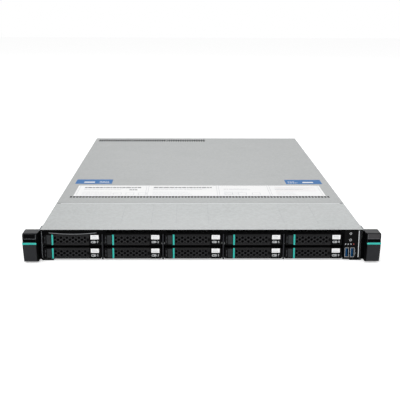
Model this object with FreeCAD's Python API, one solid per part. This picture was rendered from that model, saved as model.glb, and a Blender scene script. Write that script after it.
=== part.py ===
"""A 1U rack server: ten 2.5 inch drive trays in front, fans, boards and two power supplies behind.

Millimetres, +X to the right as seen from the front, +Y to the rear, +Z up. The origin lies on the
underside, midway across, in the plane where the ears meet the rack posts.
"""
import FreeCAD
import Part
import math
import os
from FreeCAD import Vector

# ---- sheet metal and clearances
TRAY_SHEET = 1.2        # base, side walls and rear wall
COVER_SHEET = 1.0       # both covers
COVER_SLIP = 0.2        # beside the tray's walls
COVER_FLANGE = 10.0     # how far the covers fold down the sides
SEAM_GAP = 0.8          # between the fixed and the removable cover
SEAM_LEDGE = 8.0        # how far the fixed cover's ledge runs under the seam, each way
LEDGE_DROP = 0.2        # ledge below the removable cover
PLAY = 0.2              # round a piece that slides in a pocket

# ---- drives and the trays that hold them
COLUMNS = 5
ROWS = 2
DRIVE_WIDTH = 69.85
DRIVE_LENGTH = 100.45
DRIVE_HEIGHT = 14.8
DRIVE_SET_BACK = 34.5   # tray face to drive
DRIVE_SLIP = 0.075      # drive to tray rail
DRIVE_LIFT = 0.15       # drive to the top and bottom of its tray
RAIL_THICKNESS = 3.5
RAIL_HEIGHT = 9.0
TRAY_GAP = 1.6          # tray to divider
TRAY_FACE_SET_BACK = 0.5
TRAY_FRAME_DEPTH = 14.0
CONNECTOR_GAP = 0.3     # drive to its socket
DIVIDER = 2.0
FLOOR_GAP = 0.8         # tray floor to the lower drive trays
ROW_GAP = 4.0
HEADROOM = 6.0          # above the upper drive trays
STRIP_GAP = 0.5         # front strip above the upper trays
SHELF_SHEET = 1.0
LEDGE_CLEARANCE = 0.3
LEDGE_WIDTH = 4.0

# ---- the latch lever and release button on each tray
POST_WIDTH = 3.7        # left post with the light pipes
BUTTON_WIDTH = 5.9
BUTTON_DEPTH = 9.5
BUTTON_TRAVEL = 2.0
LIP = 1.0               # frame above and below the button
LEVER_GAP = 0.4
LEVER_THICKNESS = 3.0
LEVER_END_BLOCK = 14.7  # the label end of the tray's face
LEVER_BACK_GAP = 0.7
LEVER_CHAMFER = 0.75    # at the hinge end, so that the lever can swing
LEVER_PIN_RADIUS = 0.7
PIN_PLAY = 0.06         # round a hinge pin's corners
PIN_SIDES = 8
KNUCKLE_HEIGHT = 4.0    # the tray's knuckle, between the lever's two hinge eyes
STRIPE_WIDTH = 2.6      # the coloured rib at the lever's free end
STRIPE_GAP = 1.5
GRILLE_COLUMNS = 6
GRILLE_PITCH = 8.1
GRILLE_ROW = 2.7
GRILLE_HOLE = 3.0       # across the flats
GRILLE_POCKET = 1.3     # depth of the dished field round the holes
GRILLE_WEB = 0.9        # field outside the outer holes
WINDOW_MARGIN = 2.6     # tray's air window inside its frame

# ---- body
PANEL_ZONE = 22.2       # between the last divider and the side wall
BODY_DEPTH = 740.0
FRONT_STAND = 8.0       # body in front of the rack plane
BASE_SET_BACK = 7.0     # the base's front edge, between the corners
BASE_CORNER = 16.0

# ---- ears
EAR_WIDTH = 22.3
EAR_FRONT = 13.0        # ear in front of the body's front edge
EAR_MARGIN_LOW = 1.5
EAR_MARGIN_HIGH = 1.5
EAR_TOP_RADIUS = 2.6
EAR_EDGE_CHAMFER = 1.2
EAR_UNDERCUT = 3.4
EAR_TAPER = 1.3         # the outer side leans in towards the bottom
EAR_INNER_SLOPE = 2.2
EAR_SLOPE_DEPTH = 6.6
BRACKET_SHEET = 1.5
BRACKET_REACH = 21.0    # bracket behind the body's front edge
LATCH_TOP = 1.3         # ear above the latch
LATCH_HEIGHT = 6.6
LATCH_DEPTH = 9.0
LATCH_TRAVEL = 3.0
LATCH_SIDE = 2.0
GROOVE_HEIGHT = 4.6     # dark channel under the latch
GROOVE_DEPTH = 2.0
INLAY_HEIGHT = 3.2
INLAY_DEPTH = 0.8
RACK_HOLE_SPAN = 465.1
RACK_SCREW_RADIUS = 2.5
RACK_SCREW_DEPTH = 9.0

# ---- front control panel
PANEL_DEPTH = 62.0
PANEL_WIDTH = 18.8
PANEL_WALL = 0.8
PANEL_FRONT = 1.6       # its front wall
BUTTON_RADIUS = 2.7
PUSH_BUTTON_LENGTH = 7.0
PUSH_BUTTON_TRAVEL = 1.0
PUSH_BUTTON_PLAY = 0.08
PUSH_BUTTON_PROUD = 0.3
POWER_DROP = 4.7        # power button below the panel's top
ID_DROP = 13.7
BUTTON_OFFSET = 7.9     # buttons from the panel's left side
USB_WIDTH = 5.3
USB_HEIGHT = 13.2
USB_LENGTH = 17.0
USB_SHELL = 0.35
USB_TONGUE = 1.9
USB_TONGUE_SIDE = 1.05
USB_TONGUE_INSET = 0.7  # tongue to the shell's top and bottom
USB_PITCH = 7.6
USB_OFFSET = 7.3        # middle of the pair from the panel's left side
USB_LIFT = 3.0
USB_SLIP = 0.1          # socket in the panel's opening

# ---- pull-out information tag
TAG_WIDTH = 64.5
TAG_SAG = 1.8
TAG_SHEET = 0.8
TAG_LENGTH = 60.0
TAG_PROUD = 0.6
TAG_START = 9.0         # from the left side wall
TAG_DROP = 3.3          # tag's ends below the front strip's top

# ---- vents
STRIP_VENT_WIDTH = 5.8
STRIP_VENT_HEIGHT = 2.0
STRIP_VENT_PITCH = 8.2
STRIP_VENT_DROP = 1.1
VENT_PITCH = 5.0
FRONT_VENT_WIDTH = 3.3
FRONT_VENT_LENGTH = 4.6
FRONT_VENT_COUNT = 82
FRONT_VENT_BACK = 42.0  # behind the seam
REAR_VENT_LENGTH = 13.0
REAR_VENT_WIDTH = 3.2
REAR_VENT_COUNT = 46
REAR_VENT_SIDE = 8.0    # from the cover's left edge
REAR_VENT_INSET = 28.0  # from the rear edge
FRONT_COVER_DEPTH = 148.0

# ---- power supplies
PSU_WIDTH = 73.5
PSU_LENGTH = 185.0
PSU_CLEARANCE = 0.3
PSU_SIDE = 1.6
PSU_WALL = 1.0
PSU_CORE_GAP = 16.0
PSU_CONTACT_WIDTH = 46.0
PSU_CONTACT_LENGTH = 8.0
INLET_WIDTH = 27.0
INLET_HEIGHT = 19.5
INLET_DEPTH = 13.0
INLET_SIDE = 3.0        # inlet's mouth from the supply's side
INLET_LIFT = 2.0        # and above its underside
PSU_FAN_RADIUS = 17.5
PSU_GRILLE_BAR = 1.6
PSU_GRILLE_SLOTS = 7
HANDLE_REACH = 24.0
HANDLE_THICKNESS = 3.0
HANDLE_WIDTH = 30.0
HANDLE_HEIGHT = 12.0
HANDLE_SIDE = 2.0       # handle from the supply's side, and latch from the handle
HANDLE_DROP = 3.0       # handle and latch below the supply's top
PSU_LATCH_LENGTH = 22.0
PSU_LATCH_BARREL = 2.0
PSU_LATCH_PIN = 1.0
PSU_LATCH_SHEET = 2.4
PSU_LATCH_HEIGHT = 14.0

# ---- fans
FANS = 5
FAN_PITCH = 54.0
FAN_CLEARANCE = 0.4     # under the cover
FAN_DEPTH = 28.0
FAN_TO_BOARD = 74.0
FAN_WALL = 1.4
FAN_TIP_GAP = 0.6
FAN_HUB_RADIUS = 9.0
FAN_BLADES = 5
FAN_SIDES = 16          # facets of the fan's bore
FAN_BLADE_SHEET = 1.3
FAN_BLADE_TILT = 38.0
FAN_BLADE_CHORD = 15.0
FAN_STRUT = 2.4
FAN_MOTOR = 15.0
PARTITION_GAP = 0.8     # fans to the sheet in front of them
PARTITION_RIM = 3.0

# ---- boards and what they carry
BOARD_THICKNESS = 1.6
STANDOFF = 6.0
POWER_BOARD_DEPTH = 36.0
STANDOFF_RADIUS = 2.5
STANDOFF_INSET = 7.5    # pillars inside the board's corners
BOARD_DEPTH = 336.0
BOARD_SIDE_GAP = 2.6
BOARD_REAR_GAP = 6.0
BANK_GAP = 2.0          # memory slots to the air shroud
CPU_BACK = 76.0         # heat sink front edge behind the board's front edge
SINK_WIDTH = 78.0
SINK_LENGTH = 108.0
SINK_BASE = 4.0
SINK_HEIGHT = 25.0
SINK_FINS = 15
SINK_FIN_SHEET = 0.9
SOCKET_HEIGHT = 4.5
DIMM_PITCH = 7.6
DIMM_LENGTH = 133.35
DIMM_HEIGHT = 28.0
DIMM_SHEET = 3.4
DIMM_SLOT_WIDTH = 6.2
DIMM_SLOT_HEIGHT = 5.0
DIMM_SEAT = 3.0
DIMM_FRONT = 62.0
DIMMS_MIDDLE = 6
DIMMS_SIDE = 3
DIMM_SLOT_END = 1.0     # slot longer than the module, each end
DIMM_PLAY = 0.1         # module in its slot
SHROUD_SHEET = 1.2
SHROUD_GAP = 2.0
SHROUD_TOP_GAP = 0.6
SHROUD_LENGTH = 150.0
SHROUD_STRAP = 12.0
SHROUD_FRONT = 50.0
BACKPLANE_THICKNESS = 2.4
BACKPLANE_TOP_GAP = 1.5
WINDOW_WIDTH = 62.0
WINDOW_GAP = 2.0        # air window to the sockets above and below it
SAS_WIDTH = 33.0
SAS_HEIGHT = 4.0
SAS_LIFT = 1.5          # socket above the tray's underside
SAS_DEPTH = 6.5
CABLE_HEIGHT = 14.0
CABLE_SHEET = 1.4
CABLE_SPREAD = 6.0      # between the two cables
CABLE_ENTRY = 14.0      # cable's end inside the main board's edge
CABLE_BEND = 0.45       # share of the shorter run that a bend takes up
CABLE_END_FRONT = 45.0  # first cable's end behind the main board's front edge
CABLE_END_STEP = 25.0   # and how much nearer the second one is
PLUG_WIDTH = 10.0
PLUG_DEPTH = 7.0
PLUG_HEIGHT = 20.0

# ---- rear wall
PORT_DEPTH = 18.0
PORT_HEIGHT = 14.0
PORT_WALL = 1.0
PORT_GAP = 3.0
PORT_MARGIN = 8.0
VGA_WIDTH = 31.0
VGA_SIDE = 6.0          # screw land each side of the video port's mouth
VGA_MOUTH_DEPTH = 3.0
LAN_WALL = 2.0
LAN_ROOF = 3.0
LAN_BACK = 4.0
LAN_WIDTH = 16.0
LAN_PORTS = 3
REAR_USB_WIDTH = 13.5
SLOT_WIDTH = 120.0
SLOT_HEIGHT = 18.4
SLOT_SIDE = 6.0
SLOT_DROP = 2.4
SLOT_EDGE = 12.0        # sheet between the slot and the port plate
SLOT_LIP = 2.0
SLOT_TAB = 8.0
RISER_BACK = 24.0       # riser board in front of the rear wall
RISER_LENGTH = 100.0
WALL_VENT_COUNT = 12
WALL_VENT_WIDTH = 5.0
WALL_VENT_HEIGHT = 12.0
RAIL_HOLE_RADIUS = 2.2
RAIL_HOLE_SPAN = 420.0
RAIL_HOLE_FRONT = 190.0
RAIL_HOLE_HEIGHT = 16.0

# ---- worked out from the above
TRAY_WIDTH = DRIVE_WIDTH + 2 * (RAIL_THICKNESS + DRIVE_SLIP)
BAY_PITCH = TRAY_WIDTH + 2 * TRAY_GAP + DIVIDER
BEZEL_HEIGHT = DRIVE_HEIGHT + 2 * DRIVE_LIFT
ROW_PITCH = BEZEL_HEIGHT + ROW_GAP
INNER_WIDTH = COLUMNS * BAY_PITCH + PANEL_ZONE
INNER_X = INNER_WIDTH / 2
WALL_X = INNER_X + TRAY_SHEET
BODY_X = WALL_X + COVER_SLIP + COVER_SHEET
WALL_TOP = TRAY_SHEET + FLOOR_GAP + ROWS * BEZEL_HEIGHT + (ROWS - 1) * ROW_GAP + HEADROOM
BODY_HEIGHT = WALL_TOP + COVER_SHEET
FRONT_Y = -FRONT_STAND
REAR_Y = FRONT_Y + BODY_DEPTH
SEAM_Y = FRONT_Y + FRONT_COVER_DEPTH
TRAY_FACE_Y = FRONT_Y + TRAY_FACE_SET_BACK
DRIVE_Y = TRAY_FACE_Y + DRIVE_SET_BACK
DRIVE_END_Y = DRIVE_Y + DRIVE_LENGTH
BACKPLANE_Y = DRIVE_END_Y + CONNECTOR_GAP + SAS_DEPTH
LEVER_X0 = POST_WIDTH + BUTTON_WIDTH + PLAY + LEVER_GAP
LEVER_X1 = TRAY_WIDTH - LEVER_END_BLOCK - LEVER_GAP
PANEL_X0 = -INNER_X + COLUMNS * BAY_PITCH
PANEL_X1 = PANEL_X0 + PANEL_WIDTH
STRIP_Z0 = WALL_TOP - HEADROOM + STRIP_GAP
PSU_HEIGHT = WALL_TOP - TRAY_SHEET - 2 * PSU_CLEARANCE
FAN_SIZE = WALL_TOP - TRAY_SHEET - FAN_CLEARANCE
PSU_PITCH = PSU_WIDTH + PSU_SIDE
BOARD_X0 = -INNER_X + 2 * PSU_PITCH + PSU_SIDE + 2 * TRAY_SHEET
REAR_WALL_X0 = BOARD_X0 - 2 * TRAY_SHEET
SLOT_FRAME_X0 = INNER_X - SLOT_SIDE - SLOT_WIDTH - SLOT_EDGE
BOARD_X1 = INNER_X - BOARD_SIDE_GAP
BOARD_MID = (BOARD_X0 + BOARD_X1) / 2
BOARD_Y1 = REAR_Y - TRAY_SHEET - BOARD_REAR_GAP
BOARD_Y0 = BOARD_Y1 - BOARD_DEPTH
BOARD_Z = TRAY_SHEET + STANDOFF
BOARD_TOP = BOARD_Z + BOARD_THICKNESS
FAN_Y = BOARD_Y0 - FAN_TO_BOARD
FAN_BORE = FAN_SIZE / 2 - FAN_WALL
BANK_HALF = (DIMMS_MIDDLE - 1) / 2 * DIMM_PITCH + DIMM_SLOT_WIDTH / 2
CPU_SPREAD = BANK_HALF + BANK_GAP + SHROUD_GAP + SINK_WIDTH / 2
DIMM_Z = BOARD_TOP + DIMM_SLOT_HEIGHT - DIMM_SEAT
CABLE_Z = BOARD_TOP + PORT_GAP
CABLE_END = BOARD_X0 + CABLE_ENTRY
TINY = 1.0              # cutters run this far past a face


def box(x0, x1, y0, y1, z0, z1):
    """A block between two corners, given in any order."""
    low = Vector(min(x0, x1), min(y0, y1), min(z0, z1))
    return Part.makeBox(abs(x1 - x0), abs(y1 - y0), abs(z1 - z0), low)


def prism(points, direction):
    """A straight extrusion of a flat outline."""
    outline = Part.makePolygon([Vector(*p) for p in points] + [Vector(*points[0])])
    return Part.Face(outline).extrude(Vector(*direction))


def ring(x, y, z, radius, sides, turn=0.0):
    """The corners of a regular polygon lying flat at a height."""
    angles = [turn + 2 * math.pi * k / sides for k in range(sides)]
    return [(x + radius * math.cos(a), y + radius * math.sin(a), z) for a in angles]


def across(outline, y, depth):
    """A bar along Y whose section is an outline given in X and Z."""
    return prism([(x, y, z) for x, z, _ in outline], (0, depth, 0))


def pin_bar(radius, sides, x, y, low, high):
    """An upright many-sided bar whose corners lie on a circle, for the small repeated pins."""
    return prism(ring(x, y, low, radius, sides), (0, 0, high - low))


def cylinder(radius, start, end):
    """A round bar between two points."""
    axis = Vector(*end) - Vector(*start)
    return Part.makeCylinder(radius, axis.Length, Vector(*start), axis)


def fuse(first, *others):
    """One solid from touching pieces, with the seams between coplanar faces removed."""
    return first.multiFuse(list(others)).removeSplitter()


def save(name, *solids):
    """Writes one node; several solids stay separate solids in it."""
    flat = [s for shape in solids for s in shape.Solids]
    shape = flat[0] if len(flat) == 1 else Part.makeCompound(flat)
    shape.exportStep("parts/" + name + ".step")


# ---------------------------------------------------------------- body

def divider_x(column):
    """Middle of the wall to the left of a column of trays."""
    return -INNER_X - DIVIDER / 2 + column * BAY_PITCH


def bezel_z(row):
    """Underside of a row's trays, row 0 being the lower one."""
    return TRAY_SHEET + FLOOR_GAP + row * ROW_PITCH


def chassis_tray():
    """Base and side walls folded from one sheet, and the pillars pressed into the base."""
    outer = box(-WALL_X, WALL_X, FRONT_Y, REAR_Y, 0, WALL_TOP)
    inner = box(-INNER_X, INNER_X, FRONT_Y - TINY, REAR_Y + TINY, TRAY_SHEET, WALL_TOP + TINY)
    front_notch = box(-WALL_X + BASE_CORNER, WALL_X - BASE_CORNER, FRONT_Y - TINY,
                      FRONT_Y + BASE_SET_BACK, -TINY, TRAY_SHEET)
    return [outer.cut([inner, front_notch] + rail_holes())] + standoffs()


def fan_partition():
    """Upright sheet just in front of the fans, with a window for each of them."""
    y1 = FAN_Y - PARTITION_GAP
    sheet = box(BOARD_X0, INNER_X, y1 - TRAY_SHEET, y1, TRAY_SHEET, WALL_TOP - FAN_CLEARANCE)
    windows = []
    half = FAN_SIZE / 2 - PARTITION_RIM
    for fan in range(FANS):
        x, z = fan_centre(fan)
        windows.append(box(x - half, x + half, y1 - TRAY_SHEET - TINY, y1 + TINY, z - half, z + half))
    return sheet.cut(windows)


def panel_cheek():
    """Upright flange to the right of the control panel; its bare front edge shows."""
    return box(PANEL_X1, PANEL_X1 + TRAY_SHEET, FRONT_Y, FRONT_Y + PANEL_DEPTH, TRAY_SHEET, WALL_TOP)


def psu_partitions():
    """Walls between the two power supplies and between them and the main board."""
    y0, z1 = REAR_Y - PSU_LENGTH, WALL_TOP - FAN_CLEARANCE
    spans = [(psu_x(1) - PSU_SIDE + PSU_CLEARANCE, psu_x(1) - PSU_CLEARANCE),
             (REAR_WALL_X0, REAR_WALL_X0 + TRAY_SHEET)]
    return [box(x0, x1, y0, REAR_Y - TRAY_SHEET, TRAY_SHEET, z1) for x0, x1 in spans]


def port_plate():
    """The rear wall from the power supplies to the card slot, with an opening for each port."""
    y0, y1 = REAR_Y - TRAY_SHEET, REAR_Y
    cuts = [box(x0 - PLAY, x0 + width + PLAY, y0 - TINY, y1 + TINY, BOARD_TOP - PLAY,
                BOARD_TOP + PORT_HEIGHT + PLAY) for x0, width, _ in port_places()]
    return box(REAR_WALL_X0, SLOT_FRAME_X0, y0, y1, TRAY_SHEET, WALL_TOP).cut(cuts)


def slot_frame():
    """The rear wall round the card slot, with a row of vents below it."""
    y0, y1 = REAR_Y - TRAY_SHEET, REAR_Y
    x1 = INNER_X - SLOT_SIDE
    cuts = [box(x1 - SLOT_WIDTH, x1, y0 - TINY, y1 + TINY, WALL_TOP - SLOT_DROP - SLOT_HEIGHT,
                WALL_TOP - SLOT_DROP)]
    pitch = SLOT_WIDTH / WALL_VENT_COUNT
    for n in range(WALL_VENT_COUNT):
        x = x1 - SLOT_WIDTH + (n + 0.5) * pitch
        cuts.append(box(x - WALL_VENT_WIDTH / 2, x + WALL_VENT_WIDTH / 2, y0 - TINY, y1 + TINY,
                        TRAY_SHEET + PORT_GAP, TRAY_SHEET + PORT_GAP + WALL_VENT_HEIGHT))
    return box(SLOT_FRAME_X0, INNER_X, y0, y1, TRAY_SHEET, WALL_TOP).cut(cuts)


def standoffs():
    """Hexagonal pillars under the corners of the main board."""
    return [prism(ring(x, y, TRAY_SHEET, STANDOFF_RADIUS, 6), (0, 0, STANDOFF))
            for x in (BOARD_X0 + STANDOFF_INSET, BOARD_X1 - STANDOFF_INSET)
            for y in (BOARD_Y0 + STANDOFF_INSET, BOARD_Y1 - STANDOFF_INSET)]


def rail_holes():
    """Two screw holes in each side wall for the inner slide rail."""
    holes = []
    for y in (RAIL_HOLE_FRONT, RAIL_HOLE_FRONT + RAIL_HOLE_SPAN):
        holes.append(cylinder(RAIL_HOLE_RADIUS, (-WALL_X - TINY, y, RAIL_HOLE_HEIGHT),
                              (-INNER_X + TINY, y, RAIL_HOLE_HEIGHT)))
        holes.append(cylinder(RAIL_HOLE_RADIUS, (INNER_X - TINY, y, RAIL_HOLE_HEIGHT),
                              (WALL_X + TINY, y, RAIL_HOLE_HEIGHT)))
    return holes


def cover(y0, y1):
    """A flat cover folded down both sides of the tray."""
    outer = box(-BODY_X, BODY_X, y0, y1, WALL_TOP - COVER_FLANGE, BODY_HEIGHT)
    inner = box(-BODY_X + COVER_SHEET, BODY_X - COVER_SHEET, y0 - TINY, y1 + TINY,
                WALL_TOP - COVER_FLANGE - TINY, WALL_TOP)
    return outer.cut(inner)


def front_cover():
    """The fixed cover over the drives, with a lowered ledge that the removable one closes on."""
    half = INNER_X - LEDGE_CLEARANCE
    z1 = WALL_TOP - LEDGE_DROP
    ledge = box(-half, half, SEAM_Y - SEAM_LEDGE, SEAM_Y + SEAM_LEDGE, z1 - COVER_SHEET, z1)
    joggle = box(-half, half, SEAM_Y - SEAM_LEDGE, SEAM_Y, z1, WALL_TOP)
    return fuse(cover(FRONT_Y, SEAM_Y), ledge, joggle)


def top_cover():
    """The removable cover, with a row of vents behind the seam and one at the left rear."""
    sheet = cover(SEAM_Y + SEAM_GAP, REAR_Y)
    z0, z1 = WALL_TOP - TINY, BODY_HEIGHT + TINY
    vents = []
    y = SEAM_Y + FRONT_VENT_BACK
    for n in range(FRONT_VENT_COUNT):
        x = (n - (FRONT_VENT_COUNT - 1) / 2) * VENT_PITCH
        vents.append(box(x - FRONT_VENT_WIDTH / 2, x + FRONT_VENT_WIDTH / 2,
                         y - FRONT_VENT_LENGTH / 2, y + FRONT_VENT_LENGTH / 2, z0, z1))
    y = REAR_Y - REAR_VENT_INSET
    for n in range(REAR_VENT_COUNT):
        x = -BODY_X + REAR_VENT_SIDE + (n + 0.5) * VENT_PITCH
        vents.append(box(x - REAR_VENT_WIDTH / 2, x + REAR_VENT_WIDTH / 2,
                         y - REAR_VENT_LENGTH / 2, y + REAR_VENT_LENGTH / 2, z0, z1))
    return sheet.cut(vents)


# ---------------------------------------------------------------- drive cage and trays

def tag_x():
    """Middle of the information tag."""
    return -INNER_X + TAG_START + TAG_WIDTH / 2


def tag_profile(grow):
    """The tag's bowed section across X and Z, made thicker and wider by grow all round."""
    half, z = TAG_WIDTH / 2 + grow, WALL_TOP - TAG_DROP
    x, y = tag_x(), FRONT_Y - TAG_PROUD - TINY * (grow > 0)
    low, high = z - TAG_SHEET / 2 - grow, z + TAG_SHEET / 2 + grow
    left_low, right_low = Vector(x - half, y, low), Vector(x + half, y, low)
    left_high, right_high = Vector(x - half, y, high), Vector(x + half, y, high)
    edges = [Part.Arc(left_low, Vector(x, y, low - TAG_SAG), right_low).toShape(),
             Part.LineSegment(right_low, right_high).toShape(),
             Part.Arc(right_high, Vector(x, y, high - TAG_SAG), left_high).toShape(),
             Part.LineSegment(left_high, left_low).toShape()]
    return Part.Face(Part.Wire(edges))


def information_tag():
    """A thin bowed card that pulls out over the first bay."""
    return tag_profile(0).extrude(Vector(0, TAG_LENGTH, 0))


def front_strip():
    """The strip over the trays, with a slot for the tag and a row of vents."""
    y0, y1 = FRONT_Y, FRONT_Y + TRAY_SHEET
    strip = box(-INNER_X, PANEL_X0, y0, y1, STRIP_Z0, WALL_TOP)
    cuts = [tag_profile(PLAY).extrude(Vector(0, TAG_LENGTH, 0))]
    z1 = WALL_TOP - STRIP_VENT_DROP
    count = int((BAY_PITCH - DIVIDER) / STRIP_VENT_PITCH)
    for column in range(1, COLUMNS):
        middle = divider_x(column) + BAY_PITCH / 2
        for n in range(count):
            x = middle + (n - (count - 1) / 2) * STRIP_VENT_PITCH
            cuts.append(box(x - STRIP_VENT_WIDTH / 2, x + STRIP_VENT_WIDTH / 2,
                            y0 - TINY, y1 + TINY, z1 - STRIP_VENT_HEIGHT, z1))
    return strip.cut(cuts)


def drive_cage():
    """Dividers, middle shelf, runner ledges and the front strip, welded together."""
    y1 = DRIVE_END_Y
    pieces = [front_strip()]
    for column in range(1, COLUMNS + 1):
        x = divider_x(column)
        pieces.append(box(x - DIVIDER / 2, x + DIVIDER / 2, FRONT_Y, y1, TRAY_SHEET, WALL_TOP))
    for row in range(1, ROWS):
        z = bezel_z(row) - ROW_GAP / 2
        shelf_y = TRAY_FACE_Y + TRAY_FRAME_DEPTH
        pieces.append(box(-INNER_X, PANEL_X0, shelf_y, y1, z - SHELF_SHEET / 2, z + SHELF_SHEET / 2))
        for column in range(COLUMNS):
            pieces += ledges(column, row, shelf_y, y1)
    return fuse(*pieces)


def ledges(column, row, y0, y1):
    """The two runners that carry a tray of the upper row."""
    z1 = bezel_z(row) - LEDGE_CLEARANCE
    z0 = bezel_z(row) - ROW_GAP / 2
    left = divider_x(column) + DIVIDER / 2
    right = divider_x(column + 1) - DIVIDER / 2
    return [box(left, left + LEDGE_WIDTH, y0, y1, z0, z1),
            box(right - LEDGE_WIDTH, right, y0, y1, z0, z1)]


def tray_x(column):
    """Left side of a drive tray."""
    return divider_x(column) + DIVIDER / 2 + TRAY_GAP


def lever_axis(column):
    """Where a lever's hinge pin stands, in X and Y."""
    return tray_x(column) + LEVER_X1 - LEVER_THICKNESS / 2, TRAY_FACE_Y + LEVER_THICKNESS / 2


def drive_tray(column, row):
    """The moulded frame with its runners, and the drive between them."""
    x, z = tray_x(column), bezel_z(row)
    y, top = TRAY_FACE_Y, z + BEZEL_HEIGHT
    back = y + TRAY_FRAME_DEPTH
    step = y + LEVER_THICKNESS + LEVER_BACK_GAP
    well_x1 = x + POST_WIDTH + BUTTON_WIDTH + 2 * PLAY
    end_x = x + TRAY_WIDTH - LEVER_END_BLOCK
    frame = box(x, x + TRAY_WIDTH, y, back, z, top)
    pocket = box(well_x1, end_x, y - TINY, step, z - TINY, top + TINY)
    well = box(x + POST_WIDTH, well_x1, y - TINY, y + BUTTON_DEPTH + BUTTON_TRAVEL + PLAY,
               z + LIP, top - LIP)
    window = box(well_x1 + WINDOW_MARGIN, end_x - WINDOW_MARGIN, y, back + TINY,
                 z + WINDOW_MARGIN, top - WINDOW_MARGIN)
    frame = frame.cut([pocket, well, window])
    rails = [box(side, side + RAIL_THICKNESS, back, DRIVE_END_Y, z, z + RAIL_HEIGHT)
             for side in (x, x + TRAY_WIDTH - RAIL_THICKNESS)]
    drive_x = x + RAIL_THICKNESS + DRIVE_SLIP
    drive = box(drive_x, drive_x + DRIVE_WIDTH, DRIVE_Y, DRIVE_END_Y, z + DRIVE_LIFT, top - DRIVE_LIFT)
    return fuse(frame, tray_knuckle(column, row, step, end_x), *rails), drive


def bore_radius(pin_radius):
    """Corner radius of a many-sided bore whose flats clear a turning pin."""
    return (pin_radius + PIN_PLAY) / math.cos(math.pi / PIN_SIDES)


def tray_knuckle(column, row, back, end_x):
    """The bored tongue that a lever's pin turns in, chamfered towards the lever."""
    axis_x, axis_y = lever_axis(column)
    middle = bezel_z(row) + BEZEL_HEIGHT / 2
    half, cut = LEVER_THICKNESS / 2, LEVER_CHAMFER
    low, high = middle - KNUCKLE_HEIGHT / 2, middle + KNUCKLE_HEIGHT / 2
    outline = [(axis_x - half, back, low), (axis_x - half, axis_y - half + cut, low),
               (axis_x - half + cut, axis_y - half, low), (end_x, axis_y - half, low), (end_x, back, low)]
    tongue = prism(outline, (0, 0, KNUCKLE_HEIGHT))
    bore = pin_bar(bore_radius(LEVER_PIN_RADIUS), PIN_SIDES, axis_x, axis_y, low - TINY, high + TINY)
    return tongue.cut(bore)


def grille_holes(x0, y, z):
    """Three staggered rows of hexagonal holes; x0 is the first hole's middle."""
    radius = GRILLE_HOLE / math.sqrt(3)
    holes = []
    for line in (-1, 0, 1):
        staggered = line == 0
        for n in range(GRILLE_COLUMNS - staggered):
            x = x0 + (n + staggered / 2) * GRILLE_PITCH
            holes.append(across(ring(x, z + line * GRILLE_ROW, 0, radius, 6), y - TINY,
                                LEVER_THICKNESS + 2 * TINY))
    return holes


def latch_lever(column, row):
    """The perforated lever: a plate with two hinge eyes, a pin across them and a dished grille."""
    x, z = tray_x(column), bezel_z(row)
    y, middle = TRAY_FACE_Y, z + BEZEL_HEIGHT / 2
    axis_x, axis_y = lever_axis(column)
    half, cut = LEVER_THICKNESS / 2, LEVER_CHAMFER
    x1, back = axis_x + half, y + LEVER_THICKNESS
    outline = [(x + LEVER_X0, y, z), (x1 - cut, y, z), (x1, y + cut, z), (x1, back - cut, z),
               (x1 - cut, back, z), (x + LEVER_X0, back, z)]
    plate = prism(outline, (0, 0, BEZEL_HEIGHT))
    gap = KNUCKLE_HEIGHT / 2 + PLAY
    gap_x0 = axis_x - half - 2 * PLAY
    notch = box(gap_x0, x1 + TINY, y - TINY, back + TINY, middle - gap, middle + gap)
    pin = pin_bar(LEVER_PIN_RADIUS, PIN_SIDES, axis_x, axis_y, middle - gap, middle + gap)
    field_x0 = x + LEVER_X0 + STRIPE_WIDTH + STRIPE_GAP
    field_x1 = gap_x0 - STRIPE_GAP
    field_z = GRILLE_ROW + GRILLE_HOLE / 2 + GRILLE_WEB
    dish = box(field_x0, field_x1, y - TINY, y + GRILLE_POCKET, middle - field_z, middle + field_z)
    first = (field_x0 + field_x1 - (GRILLE_COLUMNS - 1) * GRILLE_PITCH) / 2
    return fuse(plate.cut([notch, dish] + grille_holes(first, y, middle)), pin)


def release_button(column, row):
    """The push button beside the lever's free end."""
    x, z = tray_x(column) + POST_WIDTH + PLAY, bezel_z(row)
    return box(x, x + BUTTON_WIDTH, TRAY_FACE_Y, TRAY_FACE_Y + BUTTON_DEPTH,
               z + LIP + PLAY, z + BEZEL_HEIGHT - LIP - PLAY)


# ---------------------------------------------------------------- ears

def ear_levels():
    """Heights of the ear's bottom, inlay, groove, latch and top."""
    bottom, top = EAR_MARGIN_LOW, BODY_HEIGHT - EAR_MARGIN_HIGH
    latch_top = top - LATCH_TOP
    latch_bottom = latch_top - LATCH_HEIGHT
    groove = latch_bottom - GROOVE_HEIGHT
    return bottom, groove - INLAY_HEIGHT, groove, latch_bottom, latch_top, top


def latch_span():
    """The latch's inner and outer X on the right-hand ear."""
    return BODY_X + EAR_INNER_SLOPE + LATCH_SIDE, BODY_X + EAR_WIDTH - LATCH_SIDE


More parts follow.
